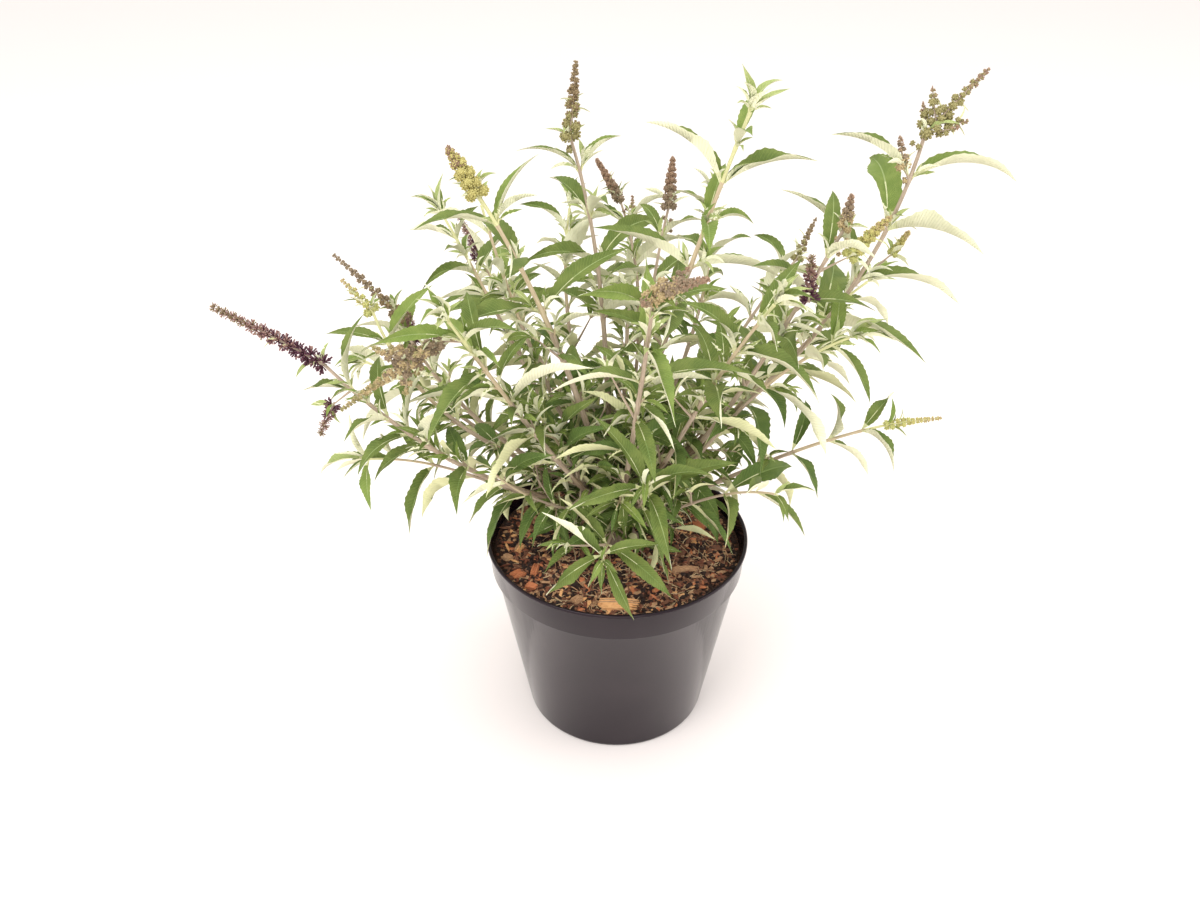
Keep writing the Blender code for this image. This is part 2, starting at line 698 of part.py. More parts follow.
def build_pot(collection, cutters, finish):
    """The pot: a tapering shell with a wide collar, a rolled lip and drain holes."""
    lip_foot = POT_HEIGHT - LIP_HEIGHT
    round_in, round_down = LIP_ROUND
    foot_out, foot_up = FOOT_ROUND
    profile = [
        (0.0, POT_FLOOR), (POT_FOOT_RADIUS - POT_WALL, POT_FLOOR),
        (BODY_TOP - POT_WALL, COLLAR_FOOT - POT_WALL), (INNER_RIM, POT_HEIGHT - MOUTH_DROP),
        (POT_RIM_RADIUS - LIP_ROLL - LIP_EASE, POT_HEIGHT),
        (POT_RIM_RADIUS - round_in, POT_HEIGHT), (POT_RIM_RADIUS, POT_HEIGHT - round_down),
        (POT_RIM_RADIUS - LIP_DRAFT, lip_foot), (POT_RIM_RADIUS - LIP_ROLL, lip_foot),
        (BODY_TOP + COLLAR_STEP, COLLAR_FOOT), (BODY_TOP, COLLAR_FOOT),
        (POT_FOOT_RADIUS + foot_out, foot_up), (POT_FOOT_RADIUS, 0.0), (0.0, 0.0),
    ]
    pot = turned("pot", profile, POT_SIDES, collection, finish)
    shape = bmesh.new()
    for k in range(DRAIN_COUNT):
        place = heading(360 * (k + 0.5) / DRAIN_COUNT) * DRAIN_RING * MM
        bmesh.ops.create_cone(shape, cap_ends=True, segments=DRAIN_SIDES, radius1=DRAIN_RADIUS * MM,
                              radius2=DRAIN_RADIUS * MM, depth=POT_FLOOR * 3 * MM,
                              matrix=Matrix.Translation(place + Vector((0, 0, POT_FLOOR / 2 * MM))))
    mesh = bpy.data.meshes.new("drain_cutter")
    shape.to_mesh(mesh)
    shape.free()
    cutter = add_object("drain_cutter", mesh, cutters)
    cutter.hide_render = True
    cutter.display_type = "WIRE"
    drain = pot.modifiers.new("drain", "BOOLEAN")
    drain.operation = "DIFFERENCE"
    drain.object = cutter
    drain.solver = "EXACT"
    return pot


def build_compost(collection, finish):
    """The compost that fills the pot to just under its collar's top."""
    slope = (INNER_RIM - BODY_TOP + POT_WALL) / (COLLAR_HEIGHT + POT_WALL - MOUTH_DROP)
    edge_height = SOIL_LEVEL - SOIL_EDGE_FALL
    edge = BODY_TOP - POT_WALL + slope * (edge_height - COLLAR_FOOT + POT_WALL) - GAP
    inward, upward = SOIL_SHOULDER
    profile = [
        (0.0, SOIL_LEVEL), (SOIL_FLAT_RADIUS, SOIL_LEVEL), (edge - inward, edge_height + upward),
        (edge, edge_height), (BODY_TOP - POT_WALL - GAP, COLLAR_FOOT - POT_WALL),
        (POT_FOOT_RADIUS - POT_WALL - GAP, POT_FLOOR + GAP), (0.0, POT_FLOOR + GAP),
    ]
    return turned("compost", profile, POT_SIDES, collection, finish)


def build_trunk(collection, finish):
    """The short leaning trunk: a flared foot, a neck and the knuckle that the shoots leave."""
    top = SOIL_LEVEL + KNUCKLE_RISE
    profile = [(0.0, top + KNUCKLE_RADIUS)]
    for degrees in KNUCKLE_ANGLES:
        along = heading(0, degrees) * KNUCKLE_RADIUS
        profile.append((along.x, top + along.z))
    neck_top, neck_foot = (SOIL_LEVEL + rise for rise in NECK_RISE)
    profile += [(TRUNK_NECK, neck_top), (TRUNK_NECK + NECK_SWELL, neck_foot),
                (TRUNK_FLARE, SOIL_LEVEL + GAP), (0.0, SOIL_LEVEL + GAP)]
    trunk = turned("trunk", profile, TRUNK_SIDES, collection, finish)
    for vertex in trunk.data.vertices:
        share = min(1.0, max(0.0, (vertex.co.z / MM - SOIL_LEVEL) / KNUCKLE_RISE))
        vertex.co.x += (TRUNK_FOOT[0] + (KNUCKLE[0] - TRUNK_FOOT[0]) * share) * MM
        vertex.co.y += (TRUNK_FOOT[1] + (KNUCKLE[1] - TRUNK_FOOT[1]) * share) * MM
    return trunk


def build_limb(shoot, path, collection, finish):
    """A shoot's bare limb: one tapering tube from the knuckle to where its leaves start."""
    points, radii = stretch(path, 0.0, shoot.bare, shoot.radius, LIMB_STEP)
    mesh = tube_mesh(points, radii, collection, None, 1)
    mesh.name = "limb_" + shoot.name
    return add_object("limb_" + shoot.name, mesh, collection, finish)


def shade(collection):
    """Shade the round pieces smooth, with their corners kept."""
    for made in collection.objects:
        made.data.shade_smooth()
        made.data.set_sharp_from_angle(angle=math.radians(SMOOTH_ANGLE))


def build():
    """Build every piece of the potted bush."""
    for leftover in list(bpy.data.objects):
        remove_object(leftover)
    bush = new_collection("potted_butterfly_bush")
    cutters = new_collection("cutters")
    workshop = new_collection("workshop")
    plastic = material("pot_plastic", (0.018, 0.017, 0.022), 0.28)
    soil = material("compost", (0.075, 0.028, 0.016), 0.95)
    bark = material("bark", (0.33, 0.22, 0.15), 0.75)
    leaf = material("leaf", (0.10, 0.20, 0.06), 0.6)

    space = Space()
    for solid in (build_pot(bush, cutters, plastic), build_compost(bush, soil), build_trunk(bush, bark)):
        space.take(solid.name, evaluated_mesh(solid))
    profile = triangle_profile(cutters)
    masses = []
    for shoot, seat in zip(SHOOTS, seat_directions()):
        path = shoot_path(shoot, seat)
        if shoot.bare:
            space.take("limb_" + shoot.name, build_limb(shoot, path, bush, bark).data)
        masses.append(Mass(shoot, path, space, workshop, profile))
    for mass in masses:
        mass.grow_stem()
        mass.grow_heads()
    for mass in masses:
        mass.grow_leaves()
    for mass in masses:
        mass.join(bush, leaf)
    remove_object(profile)
    bpy.data.collections.remove(workshop)
    shade(bush)


build()
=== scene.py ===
"""Dressed model of a potted butterfly bush: pot, compost, bark, stems, leaves and flower heads.

The origin is the centre of the pot's flat underside, with +Z up. The growth is worked
out in millimetres, and a mesh is turned into metres when it is made.
"""
import logging
import math
import random
from dataclasses import dataclass, field, replace
from enum import Enum
from functools import cache, partial
from itertools import combinations, product
from typing import Any

import bpy
import numpy as np
from mathutils import Matrix, Vector, noise
from mathutils.bvhtree import BVHTree


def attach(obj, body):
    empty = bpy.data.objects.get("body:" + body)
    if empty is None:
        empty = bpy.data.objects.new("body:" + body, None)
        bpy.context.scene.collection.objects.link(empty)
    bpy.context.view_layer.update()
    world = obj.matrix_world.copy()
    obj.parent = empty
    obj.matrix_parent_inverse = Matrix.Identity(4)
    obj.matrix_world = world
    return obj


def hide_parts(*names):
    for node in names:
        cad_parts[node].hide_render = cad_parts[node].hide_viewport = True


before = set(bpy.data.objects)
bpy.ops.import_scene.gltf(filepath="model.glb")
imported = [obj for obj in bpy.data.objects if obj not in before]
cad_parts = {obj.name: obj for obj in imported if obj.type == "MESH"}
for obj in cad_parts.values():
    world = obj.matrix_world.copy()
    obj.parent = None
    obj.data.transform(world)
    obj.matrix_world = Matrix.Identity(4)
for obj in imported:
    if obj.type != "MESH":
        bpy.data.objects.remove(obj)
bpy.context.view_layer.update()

LOG = logging.getLogger("potted_bush")
Array = np.ndarray
Pair = tuple[float, float]
Triple = tuple[float, float, float]

MM = 0.001
SEED = 41
GAP = 0.3  # between two solids of the source that don't touch
FULL_TURN = 2 * math.pi
ANY_TURN = 6.3  # upper limit of a heading that is drawn at random

POT_HEIGHT = 150.0
POT_RIM_RADIUS = 95.0
SOIL_LEVEL = 140.0
CROWN_HEIGHT = 330.0  # from the compost to the highest growth


class Wire:
    """One output of a shader node. An expression on wires adds its Math nodes."""

    def __init__(self, sheet: "Sheet", socket: bpy.types.NodeSocket) -> None:
        """Hold a socket and the sheet that it is drawn on."""
        self.sheet, self.socket = sheet, socket

    def math(self, operation: str, *operands: "Wire | float") -> "Wire":
        """The output of a Math node with these operands in order."""
        return self.sheet.add("ShaderNodeMath", {"operation": operation}, dict(enumerate(operands)))

    def __add__(self, other: "Wire | float") -> "Wire":
        """self + other."""
        return self.math("ADD", self, other)

    def __radd__(self, other: float) -> "Wire":
        """other + self."""
        return self.math("ADD", other, self)

    def __sub__(self, other: "Wire | float") -> "Wire":
        """self - other."""
        return self.math("SUBTRACT", self, other)

    def __rsub__(self, other: float) -> "Wire":
        """other - self."""
        return self.math("SUBTRACT", other, self)

    def __mul__(self, other: "Wire | float") -> "Wire":
        """self * other."""
        return self.math("MULTIPLY", self, other)

    def __rmul__(self, other: float) -> "Wire":
        """other * self."""
        return self.math("MULTIPLY", other, self)

    def __pow__(self, other: float) -> "Wire":
        """self ** other."""
        return self.math("POWER", self, other)

    def wave(self) -> "Wire":
        """The sine of this value in radians."""
        return self.math("SINE", self)

    def size(self) -> "Wire":
        """This value without its sign."""
        return self.math("ABSOLUTE", self)

    def eased(self, low: float, high: float) -> "Wire":
        """0 below low, 1 above high, and a smooth rise between them."""
        return self.sheet.add("ShaderNodeMapRange", {"interpolation_type": "SMOOTHSTEP"},
                              {"Value": self, "From Min": low, "From Max": high})


class Sheet:
    """The node tree of one material."""

    def __init__(self, name: str) -> None:
        """Start a material.

        Args:
            name: its name.
        """
        self.material = bpy.data.materials.new(name)
        self.material.use_nodes = True
        self.tree = self.material.node_tree

    def add(self, kind: str, settings: dict[str, Any] | None = None,
            sockets: dict[str | int, Any] | None = None, output: str | int = 0) -> Wire:
        """Add any node.

        Args:
            kind: its type.
            settings: its own settings, which are set first.
            sockets: values or wires for its inputs, by name or place.
            output: the output that is wanted.

        Returns:
            That output.
        """
        made = self.tree.nodes.new(kind)
        for name, value in (settings or {}).items():
            setattr(made, name, value)
        for name, value in (sockets or {}).items():
            self.feed(made.inputs[name], value)
        return Wire(self, made.outputs[output])

    def feed(self, socket: bpy.types.NodeSocket, value: Any) -> None:
        """Link a wire to an input, or set the input's own value.

        Args:
            socket: the input.
            value: a wire, or what the input takes.
        """
        if isinstance(value, Wire):
            self.tree.links.new(value.socket, socket)
        else:
            socket.default_value = value

    def place(self, kind: str = "Object") -> Wire:
        """The point of the surface: Object in metres, or UV in millimetres."""
        return self.add("ShaderNodeTexCoord", output=kind)

    def stretched(self, vector: Wire, scale: Triple) -> Wire:
        """A vector with each of its parts scaled."""
        return self.add("ShaderNodeVectorMath", {"operation": "MULTIPLY"}, {0: vector, 1: scale})

    def part(self, vector: Wire, axis: str) -> Wire:
        """One part of a vector: X, Y or Z."""
        return self.add("ShaderNodeSeparateXYZ", sockets={0: vector}, output=axis)

    def noise(self, vector: Wire, scale: float, detail: float = 3.0, rough: float = 0.55) -> Wire:
        """Soft noise from 0 to 1."""
        return self.add("ShaderNodeTexNoise", sockets={"Vector": vector, "Scale": scale, "Detail": detail,
                                                       "Roughness": rough})

    def cells(self, vector: Wire, scale: float) -> Wire:
        """The distance from the middle of the nearest cell of an uneven pattern."""
        return self.add("ShaderNodeTexVoronoi", sockets={"Vector": vector, "Scale": scale})

    def blend(self, share: Wire, first: Wire | Triple, second: Wire | Triple) -> Wire:
        """A colour between two others."""
        sides = [side if isinstance(side, Wire) else (*side, 1.0) for side in (first, second)]
        return self.add("ShaderNodeMix", {"data_type": "RGBA"}, {0: share, 6: sides[0], 7: sides[1]}, 2)

    def bump(self, height: Wire, depth: float, strength: float = 1.0) -> Wire:
        """A relief of the given depth in metres."""
        return self.add("ShaderNodeBump", sockets={"Height": height, "Distance": depth, "Strength": strength})

    def finish(self, **sockets: Any) -> bpy.types.Material:
        """Feed the shader.

        Args:
            sockets: values or wires by the input's name, with _ for a space.

        Returns:
            The finished material.
        """
        shader = self.tree.nodes["Principled BSDF"]
        for name, value in sockets.items():
            self.feed(shader.inputs[name.replace("_", " ")], (*value, 1.0) if isinstance(value, tuple) else value)
        return self.material


@dataclass(frozen=True)
class PotPlastic:
    """Glossy dark nursery-pot plastic with faint moulding waves, rubbed places and a little dust."""

    name: str = "pot_plastic"
    colour: Triple = (0.0085, 0.0048, 0.0075)
    rubbed: Triple = (0.0150, 0.0095, 0.0125)
    gloss_tint: Triple = (1.0, 0.86, 0.91)
    dust: Triple = (0.10, 0.075, 0.06)

    def make(self) -> bpy.types.Material:
        """Draw the finish.

        Returns:
            Its material.
        """
        sheet = Sheet(self.name)
        place = sheet.place()
        cloud = sheet.noise(place, 24.0, 4.0)
        streaks = sheet.noise(sheet.stretched(place, (90.0, 90.0, 6.0)), 2.0, 4.0, 0.6)
        low = 1 - sheet.part(place, "Z").eased(0.0, 0.02)
        dusty = sheet.noise(place, 260.0, 4.0, 0.7).eased(0.60, 0.82) * (0.03 + low * 0.25)
        colour = sheet.blend(cloud.eased(0.4, 0.75), self.colour, self.rubbed)
        colour = sheet.blend(dusty, colour, self.dust)
        rough = 0.10 + streaks.eased(0.4, 0.8) * 0.03 + dusty * 0.5
        relief = sheet.noise(sheet.stretched(place, (26.0, 26.0, 9.0)), 1.0, 2.0) + streaks * 0.008
        return sheet.finish(Base_Color=colour, Roughness=rough, Specular_IOR_Level=0.25,
                            Specular_Tint=self.gloss_tint, Normal=sheet.bump(relief, 0.0004, 0.4), IOR=1.5)


@dataclass(frozen=True)
class Earth:
    """Moist peat between the crumbs: dark, matt and deeply pitted."""

    name: str = "compost_peat"
    dark: Triple = (0.016, 0.007, 0.005)
    light: Triple = (0.105, 0.040, 0.020)

    def make(self) -> bpy.types.Material:
        """Draw the finish.

        Returns:
            Its material.
        """
        sheet = Sheet(self.name)
        place = sheet.place()
        grain = sheet.noise(place, 620.0, 5.0, 0.7)
        colour = sheet.blend(grain.eased(0.35, 0.72), self.dark, self.light)
        return sheet.finish(Base_Color=colour, Roughness=0.95,
                            Normal=sheet.bump(sheet.cells(place, 430.0) + grain * 0.7, 0.0014))


@dataclass(frozen=True)
class Grained:
    """A matt finish with one fine grain, as on a crumb, wood chip or fibre of the compost."""

    name: str
    colour: Triple
    vein: Triple
    roughness: float = 0.85
    stretch: Triple = (1.0, 3.2, 2.2)
    scale: float = 420.0
    detail: float = 4.0
    fading: Pair = (0.36, 0.7)  # the part of the grain over which the colour changes
    depth: float = 0.0005

    def make(self) -> bpy.types.Material:
        """Draw the finish.

        Returns:
            Its material.
        """
        sheet = Sheet(self.name)
        grain = sheet.noise(sheet.stretched(sheet.place(), self.stretch), self.scale, self.detail, 0.65)
        colour = sheet.blend(grain.eased(*self.fading), self.colour, self.vein)
        return sheet.finish(Base_Color=colour, Roughness=self.roughness, Normal=sheet.bump(grain, self.depth))


@dataclass(frozen=True)
class BudSkin(Grained):
    """The downy skin of a flower bud."""

    roughness: float = 0.72
    stretch: Triple = (1.0, 1.0, 1.0)
    scale: float = 900.0
    detail: float = 3.0
    fading: Pair = (0.4, 0.68)
    depth: float = 0.0002


@dataclass(frozen=True)
class Bark:
    """Stem bark with lengthwise streaks. The UV runs round and along the stem in millimetres."""

    name: str
    colour: Triple
    streak: Triple
    roughness: float = 0.7
    depth: float = 0.00035

    def make(self) -> bpy.types.Material:
        """Draw the finish.

        Returns:
            Its material.
        """
        sheet = Sheet(self.name)
        fibre = sheet.noise(sheet.stretched(sheet.place("UV"), (1.5, 0.09, 1.0)), 1.0, 4.0, 0.6)
        cork = sheet.noise(sheet.place(), 900.0, 3.0)
        colour = sheet.blend(fibre.eased(0.38, 0.66) * (0.6 + cork * 0.6), self.colour, self.streak)
        return sheet.finish(Base_Color=colour, Roughness=self.roughness,
                            Normal=sheet.bump(fibre + cork * 0.35, self.depth))


@dataclass(frozen=True)
class LeafSkin:
    """One face of a leaf. The UV runs across and along the blade in millimetres."""

    name: str
    colour: Triple
    second: Triple
    roughness: float = 0.55
    sheen: float = 0.0
    vein_tint: float = 1.4  # how much lighter the side veins are than the blade
    gloss: float = 0.2
    vein_depth: float = 0.0005

    def make(self) -> bpy.types.Material:
        """Draw the finish.

        Returns:
            Its material.
        """
        sheet = Sheet(self.name)
        place, line = sheet.place(), sheet.place("UV")
        down = sheet.noise(place, 1500.0, 2.0)
        veins = ((sheet.part(line, "Y") - sheet.part(line, "X").size() * 0.9) * 1.4).wave().size()
        mottle = sheet.noise(place, 95.0, 3.0).eased(0.34, 0.68) * 0.75 + down * 0.4 - 0.07
        colour = sheet.blend(mottle, self.colour, self.second)
        vein = tuple(part * self.vein_tint for part in self.second)
        colour = sheet.blend((1 - veins.eased(0.0, 0.35)) * 0.6, colour, vein)
        return sheet.finish(Base_Color=colour, Roughness=self.roughness, Sheen_Weight=self.sheen,
                            Sheen_Roughness=0.6, Specular_IOR_Level=self.gloss,
                            Normal=sheet.bump(veins ** 0.5 + down * 0.5, self.vein_depth, 0.6))


@dataclass(frozen=True)
class PaleFloor:
    """Plain pale studio floor with a faint pink cast."""

    name: str = "studio_floor"
    colour: Triple = (0.885, 0.820, 0.790)

    def make(self) -> bpy.types.Material:
        """The floor's plain material."""
        return Sheet(self.name).finish(Base_Color=self.colour, Roughness=0.8, Specular_IOR_Level=0.1)


class Dress(Enum):
    """Every finish of the pot, the compost, the plant and the floor."""

    POT = PotPlastic()
    PEAT = Earth()
    FLOOR = PaleFloor()
    DEEP = LeafSkin("leaf_deep", (0.073, 0.123, 0.026), (0.126, 0.184, 0.044), 0.62)
    MID = LeafSkin("leaf_mid", (0.103, 0.152, 0.033), (0.172, 0.216, 0.054), 0.64)
    FRESH = LeafSkin("leaf_fresh", (0.15, 0.218, 0.045), (0.232, 0.295, 0.074), 0.66, 0.0, 1.2)
    PALE = LeafSkin("leaf_pale", (0.3, 0.365, 0.12), (0.43, 0.48, 0.195), 0.7, 0.05, 1.0)
    RIB = LeafSkin("midrib_green", (0.16, 0.232, 0.065), (0.215, 0.285, 0.092), 0.66)
    RIB_FRESH = LeafSkin("midrib_fresh", (0.275, 0.345, 0.125), (0.34, 0.405, 0.17), 0.66)
    RIB_CREAM = LeafSkin("leaf_stalk_cream", (0.58, 0.6, 0.33), (0.68, 0.68, 0.41), 0.7)
    UNDER = LeafSkin("underside_sage", (0.6, 0.608, 0.325), (0.718, 0.716, 0.415), 0.85, 0.05, 0.78)
    UNDER_CREAM = LeafSkin("underside_cream", (0.735, 0.735, 0.5), (0.84, 0.835, 0.6), 0.85, 0.05, 0.8)
    BARK = Bark("bark_brown", (0.325, 0.245, 0.165), (0.165, 0.112, 0.076), 0.8, 0.0006)
    STEM_PINK = Bark("stem_pink", (0.47, 0.372, 0.275), (0.315, 0.236, 0.172), 0.8)
    STEM_TAN = Bark("stem_tan", (0.56, 0.46, 0.3), (0.42, 0.32, 0.205), 0.8, 0.0002)
    STEM_LIME = Bark("stem_lime", (0.66, 0.64, 0.345), (0.54, 0.53, 0.26), 0.85, 0.00015)
    BUD_PURPLE = BudSkin("bud_purple", (0.07, 0.018, 0.035), (0.135, 0.045, 0.065))
    BUD_MAUVE = BudSkin("bud_mauve", (0.24, 0.125, 0.11), (0.33, 0.19, 0.155))
    BUD_BROWN = BudSkin("bud_brown", (0.185, 0.128, 0.062), (0.325, 0.24, 0.12))
    BUD_GREY = BudSkin("bud_grey", (0.215, 0.156, 0.098), (0.32, 0.24, 0.148))
    BUD_RUSSET = BudSkin("bud_russet", (0.255, 0.155, 0.098), (0.37, 0.246, 0.156))
    BUD_TAN = BudSkin("bud_tan", (0.4, 0.3, 0.15), (0.51, 0.4, 0.21))
    BUD_OLIVE = BudSkin("bud_olive", (0.255, 0.225, 0.085), (0.36, 0.32, 0.135))
    BUD_GOLD = BudSkin("bud_gold", (0.45, 0.4, 0.13), (0.56, 0.5, 0.19))
    BUD_LIME = BudSkin("bud_lime", (0.43, 0.43, 0.14), (0.54, 0.53, 0.2))
    CRUMB_DARK = Grained("crumb_dark", (0.016, 0.007, 0.005), (0.045, 0.019, 0.012))
    CRUMB_BROWN = Grained("crumb_brown", (0.13, 0.052, 0.028), (0.27, 0.12, 0.065))
    CRUMB_RED = Grained("crumb_red", (0.26, 0.085, 0.042), (0.12, 0.038, 0.022))
    CHIP_TAN = Grained("chip_tan", (0.56, 0.33, 0.18), (0.33, 0.165, 0.082))
    CHIP_ORANGE = Grained("chip_orange", (0.62, 0.225, 0.095), (0.42, 0.13, 0.055))
    CHIP_PALE = Grained("chip_pale", (0.86, 0.48, 0.215), (0.66, 0.31, 0.12))
    FIBRE = Grained("fibre_straw", (0.66, 0.49, 0.29), (0.42, 0.28, 0.15))

    @cache
    def material(self) -> bpy.types.Material:
        """Its material, which is made once."""
        return self.value.make()


class LeafTone(Enum):
    """A leaf's upper face, midrib and underside."""

    DEEP = (Dress.DEEP, Dress.RIB, Dress.UNDER)
    MID = (Dress.MID, Dress.RIB, Dress.UNDER)
    HIGH = (Dress.MID, Dress.RIB_FRESH, Dress.UNDER_CREAM)
    FRESH = (Dress.FRESH, Dress.RIB_FRESH, Dress.UNDER_CREAM)
    PALE = (Dress.PALE, Dress.RIB_CREAM, Dress.UNDER_CREAM)


class HeadTone(Enum):
    """A flower head's buds at its foot, middle and point, and its stalk."""

    PURPLE = (Dress.BUD_PURPLE, Dress.BUD_MAUVE, Dress.BUD_BROWN, Dress.STEM_PINK)
    BROWN = (Dress.BUD_OLIVE, Dress.BUD_BROWN, Dress.BUD_BROWN, Dress.STEM_PINK)
    GREY = (Dress.BUD_BROWN, Dress.BUD_GREY, Dress.BUD_GREY, Dress.STEM_TAN)
    RUSSET = (Dress.BUD_GREY, Dress.BUD_RUSSET, Dress.BUD_RUSSET, Dress.STEM_TAN)
    OLIVE = (Dress.BUD_OLIVE, Dress.BUD_OLIVE, Dress.BUD_RUSSET, Dress.STEM_PINK)
    TAWNY = (Dress.BUD_TAN, Dress.BUD_GREY, Dress.BUD_RUSSET, Dress.STEM_TAN)
    GOLD = (Dress.BUD_GOLD, Dress.BUD_GOLD, Dress.BUD_RUSSET, Dress.STEM_LIME)
    LIME = (Dress.BUD_LIME, Dress.BUD_GOLD, Dress.BUD_TAN, Dress.STEM_LIME)
    TANGLED = (Dress.BUD_GREY, Dress.BUD_TAN, Dress.BUD_OLIVE, Dress.STEM_TAN)

    def ripe(self) -> bool:
        """Whether the stem under such a head has turned woody."""
        return self.value[3] is not Dress.STEM_LIME


@dataclass(frozen=True)
class BudCut:
    """The buds and clusters of one kind of flower head, with lengths in millimetres."""

    length: float
    half: float  # a bud's half width
    crowd: float  # how closely the buds cover a cluster
    opening: float  # cosine of the widest angle between a bud and its cluster's neck
    roundness: float  # the ball that the buds stand on, as a share of the cluster's size
    taper: float  # how much smaller the last cluster is than the first
    fade: float  # how late along the head the clusters shrink
    step: float  # between whorls, as a share of the cluster's size
    pause: float  # what is added to each step
    stations: tuple  # a bud's swelling at three shares of its length


class BudForm(Enum):
    """Slender tubes in open fans, beads in round clusters, or grains packed close."""

    TUBE = BudCut(5.4, 0.62, 0.62, 0.34, 0.34, 0.80, 0.95, 0.75, 2.1, ((0.0, 0.45), (0.6, 0.7), (0.92, 1.0)))
    BEAD = BudCut(1.6, 0.84, 0.92, -0.55, 0.92, 0.76, 1.05, 1.55, 0.6, ((0.1, 0.66), (0.5, 1.0), (0.86, 0.76)))
    GRAIN = BudCut(1.4, 0.68, 0.85, -0.40, 0.98, 0.66, 1.4, 0.90, 0.5, ((0.1, 0.66), (0.5, 1.0), (0.86, 0.76)))


@dataclass
class Patch:
    """Points, faces, a finish for each face, and a UV for each point."""

    points: Array
    faces: list[tuple[int, ...]]
    dress: list[Dress]
    uv: Array


def circle(sides: int) -> Array:
    """The cosines and sines of the corners round an axis, as two rows."""
    angles = np.arange(sides) * FULL_TURN / sides
    return np.stack([np.cos(angles), np.sin(angles)])


def loft(rings: Array, foot: Array, point: Array, dress: Dress | list[Dress],
         uv: Array | None = None) -> Patch:
    """Join rings into a closed skin with a single point at each end.

    Args:
        rings: points by ring, place and axis, anticlockwise as seen from the point.
        foot: closes the first ring.
        point: closes the last ring.
        dress: one finish, or one for every face in order.
        uv: a UV for each point of the rings.

    Returns:
        The skin.
    """
    count, sides = rings.shape[:2]
    last, top = count * sides, (count - 1) * sides
    steps = [(k, (k + 1) % sides) for k in range(sides)]
    faces = [(last, b, a) for a, b in steps]
    faces += [(row + a, row + b, row + sides + b, row + sides + a) for row in range(0, top, sides) for a, b in steps]
    faces += [(top + a, top + b, last + 1) for a, b in steps]
    points = np.concatenate([rings.reshape(-1, 3), [foot, point]])
    spread = np.zeros((len(points), 2))
    if uv is not None:
        flat = uv.reshape(-1, 2)
        spread = np.concatenate([flat, [flat[:sides].mean(0), flat[-sides:].mean(0)]])
    return Patch(points, faces, [dress] * len(faces) if isinstance(dress, Dress) else dress, spread)


def turned(profile: list[Pair], sides: int, dress: Dress) -> Patch:
    """Turn an outline round the Z axis. It starts and ends on the axis and rises on the outside."""
    rings = np.array([[(radius * cos, radius * sin, height) for cos, sin in circle(sides).T]
                      for radius, height in profile[1:-1]])
    return loft(rings, *(np.array([0.0, 0.0, height]) for _, height in (profile[0], profile[-1])), dress)


class Shell:
    """Patches gathered for one joined piece, in millimetres."""

    def __init__(self, name: str, *patches: Patch) -> None:
        """Start a piece, empty or with its first patches."""
        self.name, self.patches = name, list(patches)

    def add(self, patch: Patch) -> None:
        """Take in a patch."""
        self.patches.append(patch)

    def form(self, sharp: float) -> bpy.types.Object:
        """Form and dress the piece's object.

        Args:
            sharp: edges over this angle in degrees keep their corner.

        Returns:
            The object, not yet linked.
        """
        starts = np.cumsum([0, *(len(patch.points) for patch in self.patches)]).tolist()
        faces = [[corner + start for corner in face] for patch, start in zip(self.patches, starts)
                 for face in patch.faces]
        worn = [dress for patch in self.patches for dress in patch.dress]
        palette = {dress: place for place, dress in enumerate(dict.fromkeys(worn))}
        mesh = bpy.data.meshes.new(self.name)
        mesh.from_pydata(np.concatenate([patch.points for patch in self.patches]) * MM, [], faces)
        mesh.polygons.foreach_set("material_index", [palette[dress] for dress in worn])
        uv = np.concatenate([patch.uv for patch in self.patches])[np.concatenate(faces)]
        mesh.uv_layers.new(name="UVMap").data.foreach_set("uv", uv.ravel())
        mesh.validate()
        mesh.shade_smooth()
        mesh.set_sharp_from_angle(angle=math.radians(sharp))
        for dress in palette:
            mesh.materials.append(dress.material())
        return bpy.data.objects.new(self.name, mesh)

    def make(self, sharp: float, slot: str, *stands_for: str) -> None:
        """Form the piece, link it and hide the CAD nodes that it stands for."""
        settle(self.form(sharp), slot, *stands_for)


def settle(made: bpy.types.Object, slot: str, *stands_for: str) -> None:
    """Link a finished object, let it ride on the frame and report it.

    Args:
        made: the object.
        slot: not used.
        stands_for: the CAD nodes that it replaces.
    """
    bpy.context.scene.collection.objects.link(made)
    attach(made, "root")
    if stands_for:
        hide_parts(*stands_for)
    made.data.calc_loop_triangles()
    LOG.info("%s: %d triangles", made.name, len(made.data.loop_triangles))


def unit(vectors: Array) -> Array:
    """Vectors brought to length one."""
    return vectors / np.maximum(np.linalg.norm(vectors, axis=-1, keepdims=True), 1e-9)


